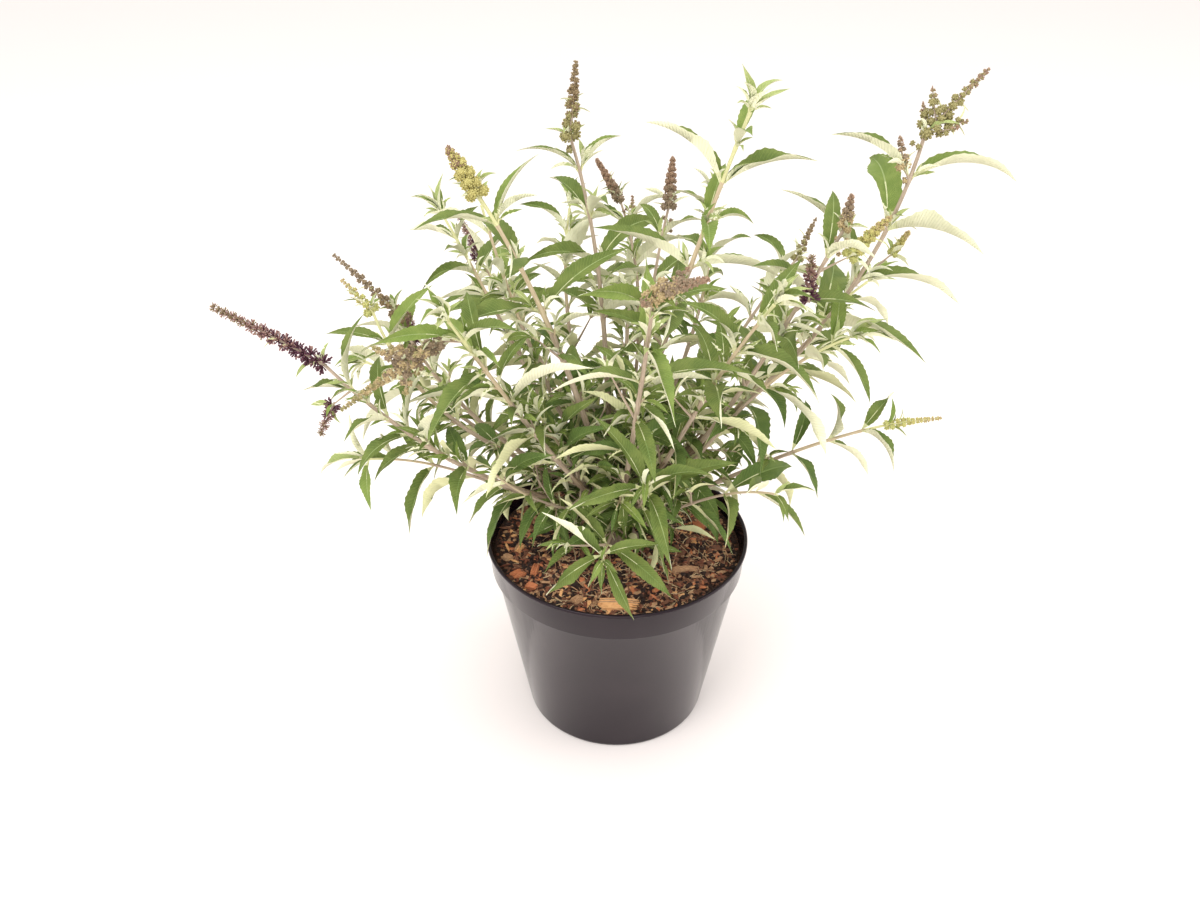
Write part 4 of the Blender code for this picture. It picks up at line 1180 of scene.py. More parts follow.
@dataclass
class Spray:
    """One shoot's stem, leaves, axil tufts and flower heads."""

    shoot: Shoot
    path: Path
    space: Space
    cuttings: Cuttings
    rule: LeafRule = LeafRule()
    nodes: list[Node] = field(default_factory=list)
    tip_share: float = 0.42  # the stem's radius at its tip, as a share of its foot's
    first_pair: float = 0.2  # where the lowest pair may stand on the stem
    last_pair: float = 0.965
    low_spread: float = 78.0  # angle between the stem and its oldest leaves
    limb_step: float = 26.0
    twig_step: float = 24.0
    whorl_step: float = 9.5  # between the swellings of the source's heads
    whorl_waist: float = 0.5
    fork_radius: float = 0.8  # as a share of the stem's there
    fine_below: float = 330.0  # the height up to which finer pairs stand between the source's
    side_length: Pair = (20.0, 34.0)
    side_spread: float = 48.0
    side_radius: float = 0.75
    side_leaf: float = 0.4
    side_head: Pair = (0.22, 6.0)  # a side head's length: a share of the head's, and what is added

    def __post_init__(self) -> None:
        """Seed the random numbers and find the shoot's quarter of the crown."""
        self.rng = random.Random(f"{SEED} {self.shoot.name}")
        self.fine = random.Random(f"{SEED} {self.shoot.name} fine")
        self.sector = Sector.of(self.shoot.azimuth)

    def taper(self, share: float | Array) -> float | Array:
        """The radius at a share of any stem, as a share of its foot's."""
        return 1 - (1 - self.tip_share) * share

    def stem_radius(self, share: float | Array) -> float | Array:
        """The stem's radius at a share of the whole shoot."""
        return self.shoot.radius * self.taper(share)

    def core(self, points: list[Vector], radii: list[float], sides: int) -> Solid:
        """A plain tube for the clearance tests."""
        patch = sweep(np.array(points), np.array(radii), sides, Dress.BARK)
        return Space.solid(patch.points, patch.faces)

    def tube(self, path: Path, radius: float, sides: int = 3, start: float = 0.0, end: float = 1.0,
             swell: float = 0.0) -> Solid:
        """Form the source's tapering tube along part of a path.

        Args:
            path: the way that it follows.
            radius: its radius at the path's foot.
            sides: corners round it.
            start: the share at which it starts.
            end: the share at which it ends.
            swell: what is added to its radius.

        Returns:
            The solid.
        """
        step = self.twig_step if sides == 3 else self.limb_step
        count = max(2, round(path.length * (end - start) / step) + 1)
        shares = [start + (end - start) * k / (count - 1) for k in range(count)]
        return self.core([path.at(share) for share in shares],
                         [radius * self.taper(share) + swell for share in shares], sides)

    def take_limb(self) -> None:
        """Note the bare limb."""
        if self.shoot.bare:
            self.space.take("limb_" + self.shoot.name,
                            self.tube(self.path, self.shoot.radius, 8, 0.0, self.shoot.bare))

    def take_stem(self) -> None:
        """Note the leafy stem and its heads."""
        shoot = self.shoot
        start = shoot.bare + (GAP / self.path.length if shoot.bare else 0.0)
        self.space.take(shoot.name, self.tube(self.path, shoot.radius, 3, start))
        if shoot.head:
            self.take_head(shoot.head, self.path.at(1.0), self.stem_radius(1.0))
        for share, *way, head in shoot.forks:
            fork, radius = self.fork(share, *way), self.stem_radius(share) * self.fork_radius
            self.space.take(shoot.name, self.tube(fork, radius))
            self.take_head(head, fork.at(1.0), radius * self.taper(1.0))

    def fork(self, share: float, azimuth: float, elevation: float, length: float) -> Path:
        """The curve of a side stem that bears a head."""
        return straight_path(self.path.at(share), heading(azimuth, elevation), length, 0.05)

    def take_head(self, head: Head, start: Vector, stalk: float) -> None:
        """Note a flower head.

        Args:
            head: the head.
            start: its stem's tip.
            stalk: the stem's radius there.
        """
        whorls = max(2, round(head.length / self.whorl_step))
        shares, radii = [0.0], [stalk]
        for whorl in range(whorls):
            swell = head.girth * (1 - 0.55 * whorl / whorls)
            shares += [(whorl + 0.45) / whorls, (whorl + 0.9) / whorls]
            radii += [swell, swell * self.whorl_waist]
        bow = head.bow(start)
        self.space.take(self.shoot.name, self.core([bow.at(share) for share in [*shares, 1.0]],
                                                   [*radii, head.girth * 0.12], 4))

    def look(self, age: float, length: float) -> LeafLook:
        """Draw how a leaf of an age and length looks.

        Args:
            age: 0 for old growth low down, 1 for the youngest.
            length: the leaf's length in millimetres.

        Returns:
            Its look.
        """
        rng = self.fine
        mood = age + rng.uniform(-0.2, 0.2) + max(0.0, 26.0 - length) * 0.024 * age - 0.14 * (length > 34)
        tones = ((0.42, LeafTone.DEEP), (0.80, LeafTone.MID), (1.10, LeafTone.FRESH))
        tone = next((tone for limit, tone in tones if mood < limit), LeafTone.PALE)
        if age > 0.62 and mood < 0.80:
            tone = LeafTone.HIGH
        cut = LARGE_CUT if length > 38 else MIDDLE_CUT if length > 19 else SMALL_CUT
        twist = rng.uniform(-50, 50) if rng.random() < 0.7 else rng.choice((-1, 1)) * rng.uniform(60, 120)
        width = rng.uniform(0.175, 0.225) + 0.045 * (length > 28) * (1.1 - min(1.0, age))
        return LeafLook(tone, cut, width=width, fold=rng.uniform(0.35, 0.95), lift=rng.uniform(6, 28),
                        twist=twist, sway=rng.uniform(-0.06, 0.06), wave=rng.uniform(0.0, 0.22),
                        rise=rng.uniform(1.05, 1.35), fall=rng.uniform(1.5, 1.95))

    def keep_leaf(self, blade: Blade, age: float) -> None:
        """Cut a leaf's mesh into the shell of its size and sector."""
        look = self.look(age, blade.length)
        (self.cuttings.small if look.cut is SMALL_CUT else self.cuttings.leaves)[self.sector].add(look.patch(blade))

    def grow_pair(self, node: Node, length: float, spread: float) -> None:
        """Grow two leaves that face each other across a stem, by the source's rule.

        Args:
            node: where they grow.
            length: their length.
            spread: its angle to the stem in degrees.
        """
        rng = self.rng
        for side in (0, 180):
            perch = node.path.perch(node.share, self.shoot.azimuth, node.turn + side + rng.uniform(-12, 12))
            size, opened = length * rng.uniform(0.88, 1.08), spread + rng.uniform(-8, 8)
            blade = self.rule.place(self.shoot.name, self.space, perch, size, opened, rng, node.radius)
            if blade:
                grown = self.fine.uniform(0.84, 1.0) + 0.1 * (node.age > 0.68)
                self.keep_leaf(replace(blade, length=blade.length * grown), node.age)

    def pair_share(self, level: float) -> float:
        """Where a pair of a level from 0 to 1 stands on the shoot."""
        first = max(self.shoot.bare, self.first_pair)
        return first + (self.last_pair - first) * (1 - (1 - level) ** self.shoot.crowd)

    def age_at(self, share: float) -> float:
        """How young the growth is at a share of the shoot."""
        return 0.22 + 0.42 * share ** 1.5 + 0.44 * ((self.path.at(share).z - SOIL_LEVEL) / CROWN_HEIGHT)

    def joint(self, share: float, turn: float) -> Node:
        """A place on the shoot's own stem where a pair grows."""
        return Node(self.path, share, self.stem_radius(share), turn, self.age_at(share))

    def grow_leaves(self) -> None:
        """Grow opposite pairs, each a quarter turn on from the last, and one side shoot."""
        shoot = self.shoot
        for pair in range(shoot.pairs):
            level = (pair + 0.5) / shoot.pairs
            self.nodes.append(self.joint(self.pair_share(level), shoot.turn + 90 * pair))
            self.grow_pair(self.nodes[-1], shoot.leaf * (1 - 0.32 * ((level - 0.45) / 0.55) ** 2),
                           self.low_spread + (shoot.open_tip - self.low_spread) * level)
        if not shoot.head:
            self.nodes.append(self.joint(1.0, shoot.turn + 90 * shoot.pairs))
            self.grow_pair(self.nodes[-1], shoot.leaf * 0.42, 24)
        self.grow_side_shoot(self.pair_share(1.5 / shoot.pairs), shoot.turn + 130)

    def grow_side_shoot(self, share: float, turn: float) -> None:
        """Grow a short shoot from a leaf's foot with a pair of leaves at its tip.

        Args:
            share: where it leaves the stem.
            turn: the side on which it grows.
        """
        perch, age = self.path.perch(share, self.shoot.azimuth, turn), self.age_at(share)
        way = straight_path(perch.root, perch.leaning(self.side_spread), self.rng.uniform(*self.side_length), -0.05)
        thick = self.side_radius / self.tip_share * 0.6
        if not self.space.is_clear(self.shoot.name, self.tube(way, thick, swell=self.rule.clearance), None):
            return
        self.space.take(self.shoot.name, self.tube(way, thick))
        self.twig(way, thick, thick * self.taper(1.0), age + 0.15)
        self.grow_pair(Node(way, 0.97, self.side_radius, turn, age + 0.1), self.shoot.leaf * self.side_leaf, 34)
        self.tuft(Perch(way.at(1.0), way.along(1.0), perch.radial), 5.0, 2, 12.0, age + 0.25)

    @staticmethod
    def stem_dress(age: float) -> Dress:
        """A stem's finish by its age."""
        stages = ((0.52, Dress.BARK), (0.86, Dress.STEM_PINK), (1.00, Dress.STEM_TAN))
        return next((dress for limit, dress in stages if age < limit), Dress.STEM_LIME)

    def twig(self, path: Path, thick: float, thin: float, age: float, sides: int = 6, step: float = 5.0) -> None:
        """Sweep a plain twig, which tapers from one radius to the other, in the finish of its age."""
        shares, points = path.line(0.0, 1.0, step)
        self.cuttings.twigs.add(sweep(points, np.interp(shares, (0, 1), (thick, thin)), sides, self.stem_dress(age)))

    def grooved(self, shares: Array, sides: int, depth: float) -> Array:
        """Work out a stem's relief: wandering lengthwise ridges and swollen leaf joints.

        Args:
            shares: where its rings stand.
            sides: corners round it.
            depth: how deep the ridges are, as a share of the radius.

        Returns:
            A factor on the radius at each ring and corner.
        """
        angles = np.arange(sides) * FULL_TURN / sides
        phase = self.fine.uniform(0, ANY_TURN)
        along = shares * self.path.length
        ridges = np.cos(4 * angles[None, :] + phase + 0.02 * along[:, None])
        fine = np.cos(9 * angles[None, :] - phase * 2 + 0.05 * along[:, None])
        swell = np.ones(len(shares))
        for node in self.nodes:
            if node.path is self.path:
                swell += 0.26 * np.exp(-(((shares - node.share) * self.path.length) / 1.9) ** 2)
        return (1 + depth * (0.6 * ridges + 0.4 * fine)) * swell[:, None]

    def grow_stem(self) -> None:
        """Sweep the shoot's bark: its bare limb in the boughs' piece, and the rest in the twigs'."""
        bare, head = self.shoot.bare, self.shoot.head
        if bare:
            shares, points = self.path.line(0.0, bare, 2.6)
            flare = 1 + 0.35 * np.exp(-shares * self.path.length / 4.0)
            relief = self.grooved(shares, 18, 0.075) * flare[:, None]
            self.cuttings.boughs.add(sweep(points, self.stem_radius(shares), 18, Dress.BARK, relief))
        shares, points = self.path.line(max(0.0, bare - 0.004), 1.0, 3.6)
        ripening = 0.36 if head and head.tone.ripe() else 0.62
        ages = 0.40 + ripening * shares + 0.12 * (points[:, 2] - SOIL_LEVEL) / CROWN_HEIGHT
        steps = [node.share for node in self.nodes if node.path is self.path]
        held = [max([share for share in steps if share <= here], default=shares[0]) for here in shares]
        dress = [self.stem_dress(float(np.interp(share, shares, ages))) for share in held]
        self.cuttings.twigs.add(sweep(points, self.stem_radius(shares), 12, dress, self.grooved(shares, 12, 0.05)))

    def sprout(self, perch: Perch, spread: float, length: float, age: float, tested: bool = True) -> bool:
        """Grow one finer leaf where there is room.

        Args:
            perch: where it grows.
            spread: its angle to the stem in degrees.
            length: its length.
            age: how young it is.
            tested: whether it must clear what stands in the crown.

        Returns:
            Whether it grew.
        """
        rng = self.fine
        aim = perch.leaning(spread + rng.uniform(-9, 9)).normalized()
        down = square_to(Vector((0, 0, -0.8)) - perch.along * 0.6 + perch.radial * 0.02, aim)
        blade = Blade(perch.root, aim, down, length, rng.uniform(12, 42), rng.uniform(-26, 26))
        if tested:
            outer = self.rule.solid(blade, 0.3, 0.1)
            if not (self.rule.above_compost(blade) and self.space.is_clear("", outer, None)):
                return False
            self.space.take(self.shoot.name + "_sprout", outer)
        self.keep_leaf(blade, age)
        return True

    def sprout_ring(self, perch: Perch, count: int, spread: float, sizes: Pair, age: float,
                    tested: bool = True) -> int:
        """Grow finer leaves of sizes between two, evenly round a stem, and count those that grew."""
        rng = self.fine
        return sum(self.sprout(perch.spun(360 / count * k + rng.uniform(-15, 15)), spread, rng.uniform(*sizes),
                               age + rng.uniform(-0.05, 0.1), tested) for k in range(count))

    def tuft(self, perch: Perch, length: float, pairs: int, leaf: float, age: float) -> None:
        """Grow a short side shoot in a leaf's axil with small opposite leaves.

        Args:
            perch: where it grows.
            length: its length.
            pairs: how many pairs of leaves it bears.
            leaf: its largest leaf.
            age: how young it is, from 0 to 1.
        """
        rng = self.fine
        aim = perch.leaning(rng.uniform(20, 42)).normalized()
        way = straight_path(perch.root, aim, length, -0.08)
        if length > 3.0:
            self.twig(way, 0.75, 0.42, age + 0.1, 5, 6.0)
        askew = square_to(perch.radial + Vector((0.01, 0.02, 0.03)), aim)
        first = Perch(perch.root, aim, Matrix.Rotation(rng.uniform(0, 3.1), 3, aim) @ askew)
        for pair in range(pairs):
            share = (pair + 1) / pairs
            size = leaf * (1.0 - 0.28 * abs(share - 0.55))
            self.sprout_ring(replace(first, root=way.at(share)).spun(90 * pair), 2, 50 - 30 * share,
                             (size * 0.8, size * 1.15), age)

    def grow_tufts(self) -> None:
        """Grow a tuft in the axil of each leaf of a pair."""
        rng = self.fine
        for node, side in product(self.nodes, (0, 180)):
            if self.shoot.is_sparse() and node.share > 0.5:
                continue
            perch = node.path.perch(node.share, self.shoot.azimuth, node.turn + side + rng.uniform(-16, 16))
            grown = rng.random()
            length = 2.0 + 15.0 * grown ** 2 * (1.15 - node.share)
            leaf = rng.uniform(12, 21) + 9 * grown * (1 - node.share)
            self.tuft(replace(perch, root=perch.root + perch.radial * node.radius * 0.7), length,
                      1 if grown < 0.35 else 2 if grown < 0.8 else 3, leaf, node.age + 0.12)

    def grow_low_shoots(self) -> None:
        """Grow short leafy side shoots low on the limb, which hide the trunk."""
        rng, shoot = self.fine, self.shoot
        for k, share in enumerate((0.10, 0.17, 0.25, 0.33)):
            perch = self.path.perch(share + rng.uniform(-0.02, 0.02), shoot.azimuth,
                                    shoot.turn + 137 * k + rng.uniform(-25, 25))
            aim = (perch.leaning(rng.uniform(40, 78)) + Vector((0, 0, 0.25))).normalized()
            way = straight_path(perch.root, aim, rng.uniform(16, 40), rng.uniform(-0.2, 0.1))
            end = way.at(1.0)
            if end.z < SOIL_LEVEL + 8 or math.hypot(end.x, end.y) > POT_RIM_RADIUS + 15:
                continue
            self.twig(way, 0.9, 0.5, 0.6 + rng.uniform(-0.2, 0.4), 5)
            for level in (0.35, 0.68, 1.0):
                self.sprout_ring(way.perch(level, shoot.azimuth, 90 * k + 270 * level), 2, 74 - 40 * level,
                                 (18, 35), rng.uniform(0.15, 0.75))

    def grow_extra(self) -> None:
        """Grow low pairs on the limb, pairs between the source's, and close leaves at the tip."""
        rng, shoot, sparse = self.fine, self.shoot, self.shoot.is_sparse()
        places = []
        if shoot.bare:
            places += [(share + rng.uniform(-0.02, 0.02), shoot.turn + 45 + 90 * k, rng.uniform(0.6, 0.85),
                        rng.uniform(58, 84), 0.15) for k, share in enumerate((0.13, 0.21, 0.30))]
        for pair in range(0 if sparse or shoot.crowd > 1.5 else shoot.pairs - 1):
            share = (self.pair_share((pair + 0.5) / shoot.pairs) + self.pair_share((pair + 1.5) / shoot.pairs)) / 2
            if self.path.at(share).z < self.fine_below and (pair + 1) / shoot.pairs > 0.3:
                places.append((share, shoot.turn + 90 * pair + 45, rng.uniform(0.55, 0.78),
                               rng.uniform(48, 68), self.age_at(share)))
        for share, turn, size, spread, age in places:
            length = shoot.leaf * size
            if self.sprout_ring(self.path.perch(share, shoot.azimuth, turn), 2, spread, (length * 0.8, length), age):
                self.nodes.append(Node(self.path, share, self.stem_radius(share), turn, age))
        tip, age = self.path.perch(1.0, shoot.azimuth, shoot.turn + 45), self.age_at(1.0)
        if sparse and shoot.reach > 150.0 and not shoot.head:
            self.sprout_ring(tip, 3, 56.0, (32.0, 42.0), age + 0.45, False)
        elif shoot.head or sparse:
            self.sprout_ring(tip, 2 if sparse else 4, 45.0, (11.0, 22.0), age, False)
        else:
            self.sprout_ring(tip, 4, 22.0, (16.0, 30.0), age + 0.1, False)
            self.sprout_ring(Perch(tip.root + tip.along * 2.0, tip.along, -tip.radial), 2, 8.0, (7.0, 12.0),
                             age + 0.2, False)

    def grow_skirt(self, knuckle: Knuckle) -> None:
        """Grow young leafy growth straight from the trunk's knuckle, which hides it from the front.

        Args:
            knuckle: the trunk's knuckle.
        """
        rng = self.fine
        for k in range(34):
            out = heading(-180 + 180 * (k * 0.618 % 1.0), rng.uniform(-18, 38))
            root = knuckle.centre() + out * knuckle.radius * 0.92
            self.tuft(Perch(root, out, square_to(Vector((0.05, 0.0, 1.0)), out)), rng.uniform(7, 19), 3,
                      rng.uniform(20, 32), rng.uniform(0.1, 0.5))

    def grow_heads(self) -> None:
        """Grow the head at the tip, and those on forks and in leaf axils."""
        if self.shoot.head:
            self.grow_head(self.shoot.head, self.path.at(1.0), self.stem_radius(1.0))
        for share, *way, head in (*self.shoot.forks, *self.shoot.axils):
            fork, start = self.fork(share, *way), self.stem_radius(share) * self.fork_radius
            self.twig(fork, start, start * self.tip_share, 0.8, 8, 3.0)
            perch = replace(fork.perch(0.95, self.shoot.azimuth, 30), root=fork.at(0.97))
            self.sprout_ring(perch, 3, 52.0, (10.0, 20.0), 0.9, False)
            self.grow_head(head, fork.at(1.0), start * self.tip_share)

    def grow_head(self, head: Head, start: Vector, stalk: float) -> None:
        """Grow a flower head with its side heads in pairs near its foot.

        Args:
            head: the head.
            start: the tip of its stem.
            stalk: the stem's radius there.
        """
        bow, aim = head.bow(start), head.aim()
        maker = FlowerHead(head, self.cuttings, self.fine)
        maker.grow(bow, stalk)
        share, added = self.side_head
        length = head.length * share + added
        for k in range(head.sides):
            radial = radial_at(aim, head.azimuth, 25 + 180 * k + 40 * (k // 2))
            small = FlowerHead(replace(head, length=length, girth=head.girth * 0.84, sides=0),
                               self.cuttings, self.fine, bare=added)
            small.grow(straight_path(bow.at(0.06 + 0.14 * (k // 2)), (aim * 0.75 + radial).normalized(),
                                     length, -0.1), 0.6)
        if head.form is not BudForm.TUBE and head.tone.ripe():
            for k in range(2 if head.form is BudForm.GRAIN else 1):
                maker.grow_buttons(start - aim * 8.5 * (k + 1), aim, head.azimuth + 90 * k)


@dataclass
class FlowerHead:
    """A spike of bud clusters in opposite pairs, each pair a quarter turn on from the last."""

    head: Head
    cuttings: Cuttings
    rng: random.Random
    bare: float = 1.5  # the stalk below the first whorl
    swell: float = 0.52  # the first cluster's radius, in girths
    stub: float = 0.5  # a cluster's own stalk
    full_size: float = 3.2  # the radius from which a cluster's buds have their full length
    bud_sides: int = 5
    bracts: Pair = (0.5, 0.3)  # the level up to which bracts grow, and how often
    button: float = 0.28  # size of the clusters under the head, in girths

    def bud(self, root: Array, aim: Array, length: float, half: float, dress: Dress) -> None:
        """Form one bud, swollen by its form.

        Args:
            root: its foot.
            aim: the way it points.
            length: its length.
            half: its half width.
            dress: its finish.
        """
        first = unit(np.cross(aim, [0.31, 0.57, 0.76]))
        cos, sin = circle(self.bud_sides)
        ring = first * cos[:, None] + np.cross(aim, first) * sin[:, None]
        rings = np.array([root + aim * length * place + ring * half * swell
                          for place, swell in self.head.form.value.stations])
        self.cuttings.buds[Sector.of(self.head.azimuth)].add(
            loft(rings, root - aim * 0.03, root + aim * length * 1.04, dress))

    def tone(self, level: float) -> Dress:
        """The finish of a bud at a level of the head, from 0 at its foot to 1 at its point."""
        mood, (foot, middle, point, _) = level + self.rng.uniform(-0.26, 0.26), self.head.tone.value
        return foot if mood < 0.32 else middle if mood < 0.76 else point

    def cluster(self, perch: Perch, level: float, size: float) -> None:
        """Grow the buds on one side of a whorl.

        Args:
            perch: where on the stalk they grow.
            level: how far up the head they are, from 0 to 1.
            size: the cluster's radius.
        """
        rng, cut = self.rng, self.head.form.value
        root, aim, radial = (np.array(part) for part in (perch.root, perch.along, perch.radial))
        neck = unit(radial + aim * (0.3 + 0.9 * level))
        ball = size * cut.roundness
        middle = root + neck * (self.stub + ball * 0.9)
        scale = 0.32 + 0.68 * min(1.0, size / self.full_size)
        length, half = cut.length * scale, cut.half * scale
        first = unit(np.cross(neck, aim))
        second = np.cross(neck, first)
        if cut.opening < 0:
            self.bud(middle - neck * ball * 0.9, neck, ball * 1.8, ball * 0.92, self.tone(level))
        if size > 1.2:
            stalk = np.array([root, (root + middle) / 2, middle])
            self.cuttings.twigs.add(sweep(stalk, np.array([0.42, 0.38, 0.34]), 4, self.head.tone.value[3]))
        count = max(3, round(cut.crowd * ((ball + length * 0.4) / half) ** 2))
        start = rng.uniform(0, ANY_TURN)
        for k in range(count):
            rise = 1 - (1 - cut.opening) * (k + 0.5) / count + rng.uniform(-0.06, 0.06)
            turn = start + k * 2.4 + rng.uniform(-0.2, 0.2)
            wide = math.sqrt(max(0.0, 1 - rise * rise))
            toward = unit(neck * rise + (first * math.cos(turn) + second * math.sin(turn)) * wide)
            grown = rng.uniform(0.8, 1.15)
            self.bud(middle + toward * max(0.0, ball - length * 0.55), toward, length * grown, half * grown,
                     self.tone(level))

    def grow(self, bow: Path, stalk: float) -> None:
        """Grow the head along its curve.

        Args:
            bow: the curve of its stalk.
            stalk: the stalk's radius at its foot.
        """
        rng, cut = self.rng, self.head.form.value
        shares, points = bow.line(0.0, 0.97, 3.0)
        radii = np.interp(shares, (0, 1), (max(0.7, stalk), 0.3))
        self.cuttings.twigs.add(sweep(points, radii, 7, self.head.tone.value[3]))
        place, whorl, start = self.bare, 0, rng.uniform(0, 180)
        while place < bow.length - 0.7:
            level = (place - self.bare) / (bow.length - self.bare)
            size = self.head.girth * self.swell * (1 - cut.taper * level ** cut.fade) * rng.uniform(0.86, 1.14)
            for side in (0, 180):
                perch = bow.perch(place / bow.length, self.head.azimuth,
                                  start + 90 * whorl + side + rng.uniform(-10, 10))
                self.cluster(perch, level, size)
                if level < self.bracts[0] and rng.random() < self.bracts[1]:
                    self.bract(perch)
            place += (size * cut.step + cut.pause) * rng.uniform(0.84, 1.16)
            whorl += 1
        tip, aim = np.array(bow.at(0.97)), np.array(bow.along(1.0))
        for k in range(6):
            lean = np.array([rng.uniform(-0.35, 0.35) for _ in range(3)]) * (k > 0)
            self.bud(tip - aim * 0.9 * (k > 0), unit(aim + lean), rng.uniform(1.6, 2.4), 0.42, self.tone(1.0))

    def grow_buttons(self, foot: Vector, aim: Vector, azimuth: float) -> None:
        """Grow a pair of small clusters on the stem under the head.

        Args:
            foot: the stem's middle there.
            aim: the stem's direction.
            azimuth: the side on which the pair stands.
        """
        turn = self.rng.uniform(-25, 25)
        for side in (0, 180):
            radial = radial_at(aim, azimuth, turn + side)
            self.cluster(Perch(foot + radial * 1.4, aim, radial), 0.15, self.head.girth * self.button)

    def bract(self, perch: Perch) -> None:
        """Grow a thin curved leaf under a cluster.

        Args:
            perch: where the cluster grows.
        """
        rng = self.rng
        toward = perch.leaning(rng.uniform(40, 70)).normalized()
        blade = Blade(perch.root, toward, square_to(-perch.along, toward), rng.uniform(8.0, 15.0),
                      rng.uniform(15, 45), rng.uniform(-20, 20))
        tone = LeafTone.DEEP if rng.random() < 0.6 else LeafTone.MID
        look = LeafLook(tone, BRACT_CUT, width=0.10, fold=0.3, lift=4.0, petiole=0.0)
        self.cuttings.small[Sector.of(self.head.azimuth)].add(look.patch(blade))


@dataclass
class Trunk:
    """The short leaning trunk: a flared foot, a neck and the knuckle that the shoots leave."""

    knuckle: Knuckle
    foot: Pair = (4.0, 3.0)
    sunk: float = 2.5  # how deep its foot stands in the crumbs
    neck: float = 8.5
    flare: float = 15.0
    sides: int = 48
    rings: int = 44
    top_angle: float = 82.0

    def radius_at(self, angle: float, rise: float) -> float:
        """Work out the radius with the bark's ridges and knobs.

        Args:
            angle: the direction from the trunk's middle in radians.
            rise: the height above the compost.

        Returns:
            The radius there.
        """
        knuckle, above = self.knuckle, max(rise, 0.0)
        ball = math.sqrt(max(0.0, knuckle.radius ** 2 - (above - knuckle.rise) ** 2))
        shaft = self.neck + (self.flare - self.neck) * math.exp(-above / 3.2)
        spot = Vector((math.cos(angle) * 2.2, math.sin(angle) * 2.2, rise * 0.06))
        ridge = noise.fractal(spot, 0.9, 2.0, 4) * 0.10
        knob = noise.noise(Vector((spot.x, spot.y, rise * 0.16 + 7.0))) * 0.06
        return max(ball, shaft if above < knuckle.rise else 0.0) * (1 + ridge + knob - 0.05)

    def grow(self, cuttings: Cuttings) -> None:
        """Add the trunk to the boughs' piece.

        Args:
            cuttings: the plant's shells.
        """
        knuckle = self.knuckle
        angles = np.arange(self.sides) * FULL_TURN / self.sides
        rises = np.linspace(-self.sunk, knuckle.rise + knuckle.radius * math.sin(math.radians(self.top_angle)),
                            self.rings)
        rings = np.empty((self.rings, self.sides, 3))
        for row, rise in enumerate(rises):
            share = min(1.0, max(0.0, rise / knuckle.rise))
            x, y = (a + (b - a) * share for a, b in zip(self.foot, knuckle.place))
            for column, angle in enumerate(angles):
                wide = self.radius_at(angle, rise)
                rings[row, column] = x + math.cos(angle) * wide, y + math.sin(angle) * wide, SOIL_LEVEL + rise
        uv = np.stack(np.broadcast_arrays(angles[None, :] * self.neck, rises[:, None]), axis=-1)
        foot = np.array([*self.foot, SOIL_LEVEL - self.sunk])
        point = np.array([*knuckle.place, SOIL_LEVEL + knuckle.rise + knuckle.radius * 0.97])
        cuttings.boughs.add(loft(rings, foot, point, Dress.BARK, uv))


@dataclass
class Bush:
    """The whole plant above the compost."""

    knuckle: Knuckle = field(default_factory=Knuckle)
    cuttings: Cuttings = field(default_factory=Cuttings)
    blockers: tuple[str, ...] = ("pot", "compost", "trunk")
    bark_edge: float = 50.0  # edges over these angles keep their corner
    leaf_edge: float = 100.0
    small_edge: float = 80.0

    def grow(self) -> None:
        """Grow every shoot by the source's rule, then its finer twigs, leaves and buds."""
        space = Space()
        for name in self.blockers:
            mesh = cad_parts[name].data
            space.take(name, Space.solid([vertex.co / MM for vertex in mesh.vertices],
                                         [tuple(face.vertices) for face in mesh.polygons]))
        sprays = {shoot.name: Spray(shoot, self.knuckle.path(shoot, seat), space, self.cuttings)
                  for shoot, seat in zip(SHOOTS, self.knuckle.seats())}
        for step in (Spray.take_limb, Spray.take_stem, Spray.grow_leaves, Spray.grow_extra,
                     Spray.grow_low_shoots, Spray.grow_tufts, Spray.grow_stem, Spray.grow_heads):
            for spray in sprays.values():
                step(spray)
        sprays["centre"].grow_skirt(self.knuckle)
        Trunk(self.knuckle).grow(self.cuttings)

    def build(self) -> None:
        """Make the plant's pieces."""
        self.grow()
        limbs = ["limb_" + shoot.name for shoot in SHOOTS if shoot.bare]
        self.cuttings.boughs.make(self.bark_edge, "bark", "trunk", *limbs)
        for sector, shell in self.cuttings.leaves.items():
            masses = ["foliage_" + shoot.name for shoot in SHOOTS if Sector.of(shoot.azimuth) is sector]
            shell.make(self.leaf_edge, "foliage", *masses)
        for shell in [*self.cuttings.small.values(), self.cuttings.twigs, *self.cuttings.buds.values()]:
            shell.make(self.small_edge, "foliage")


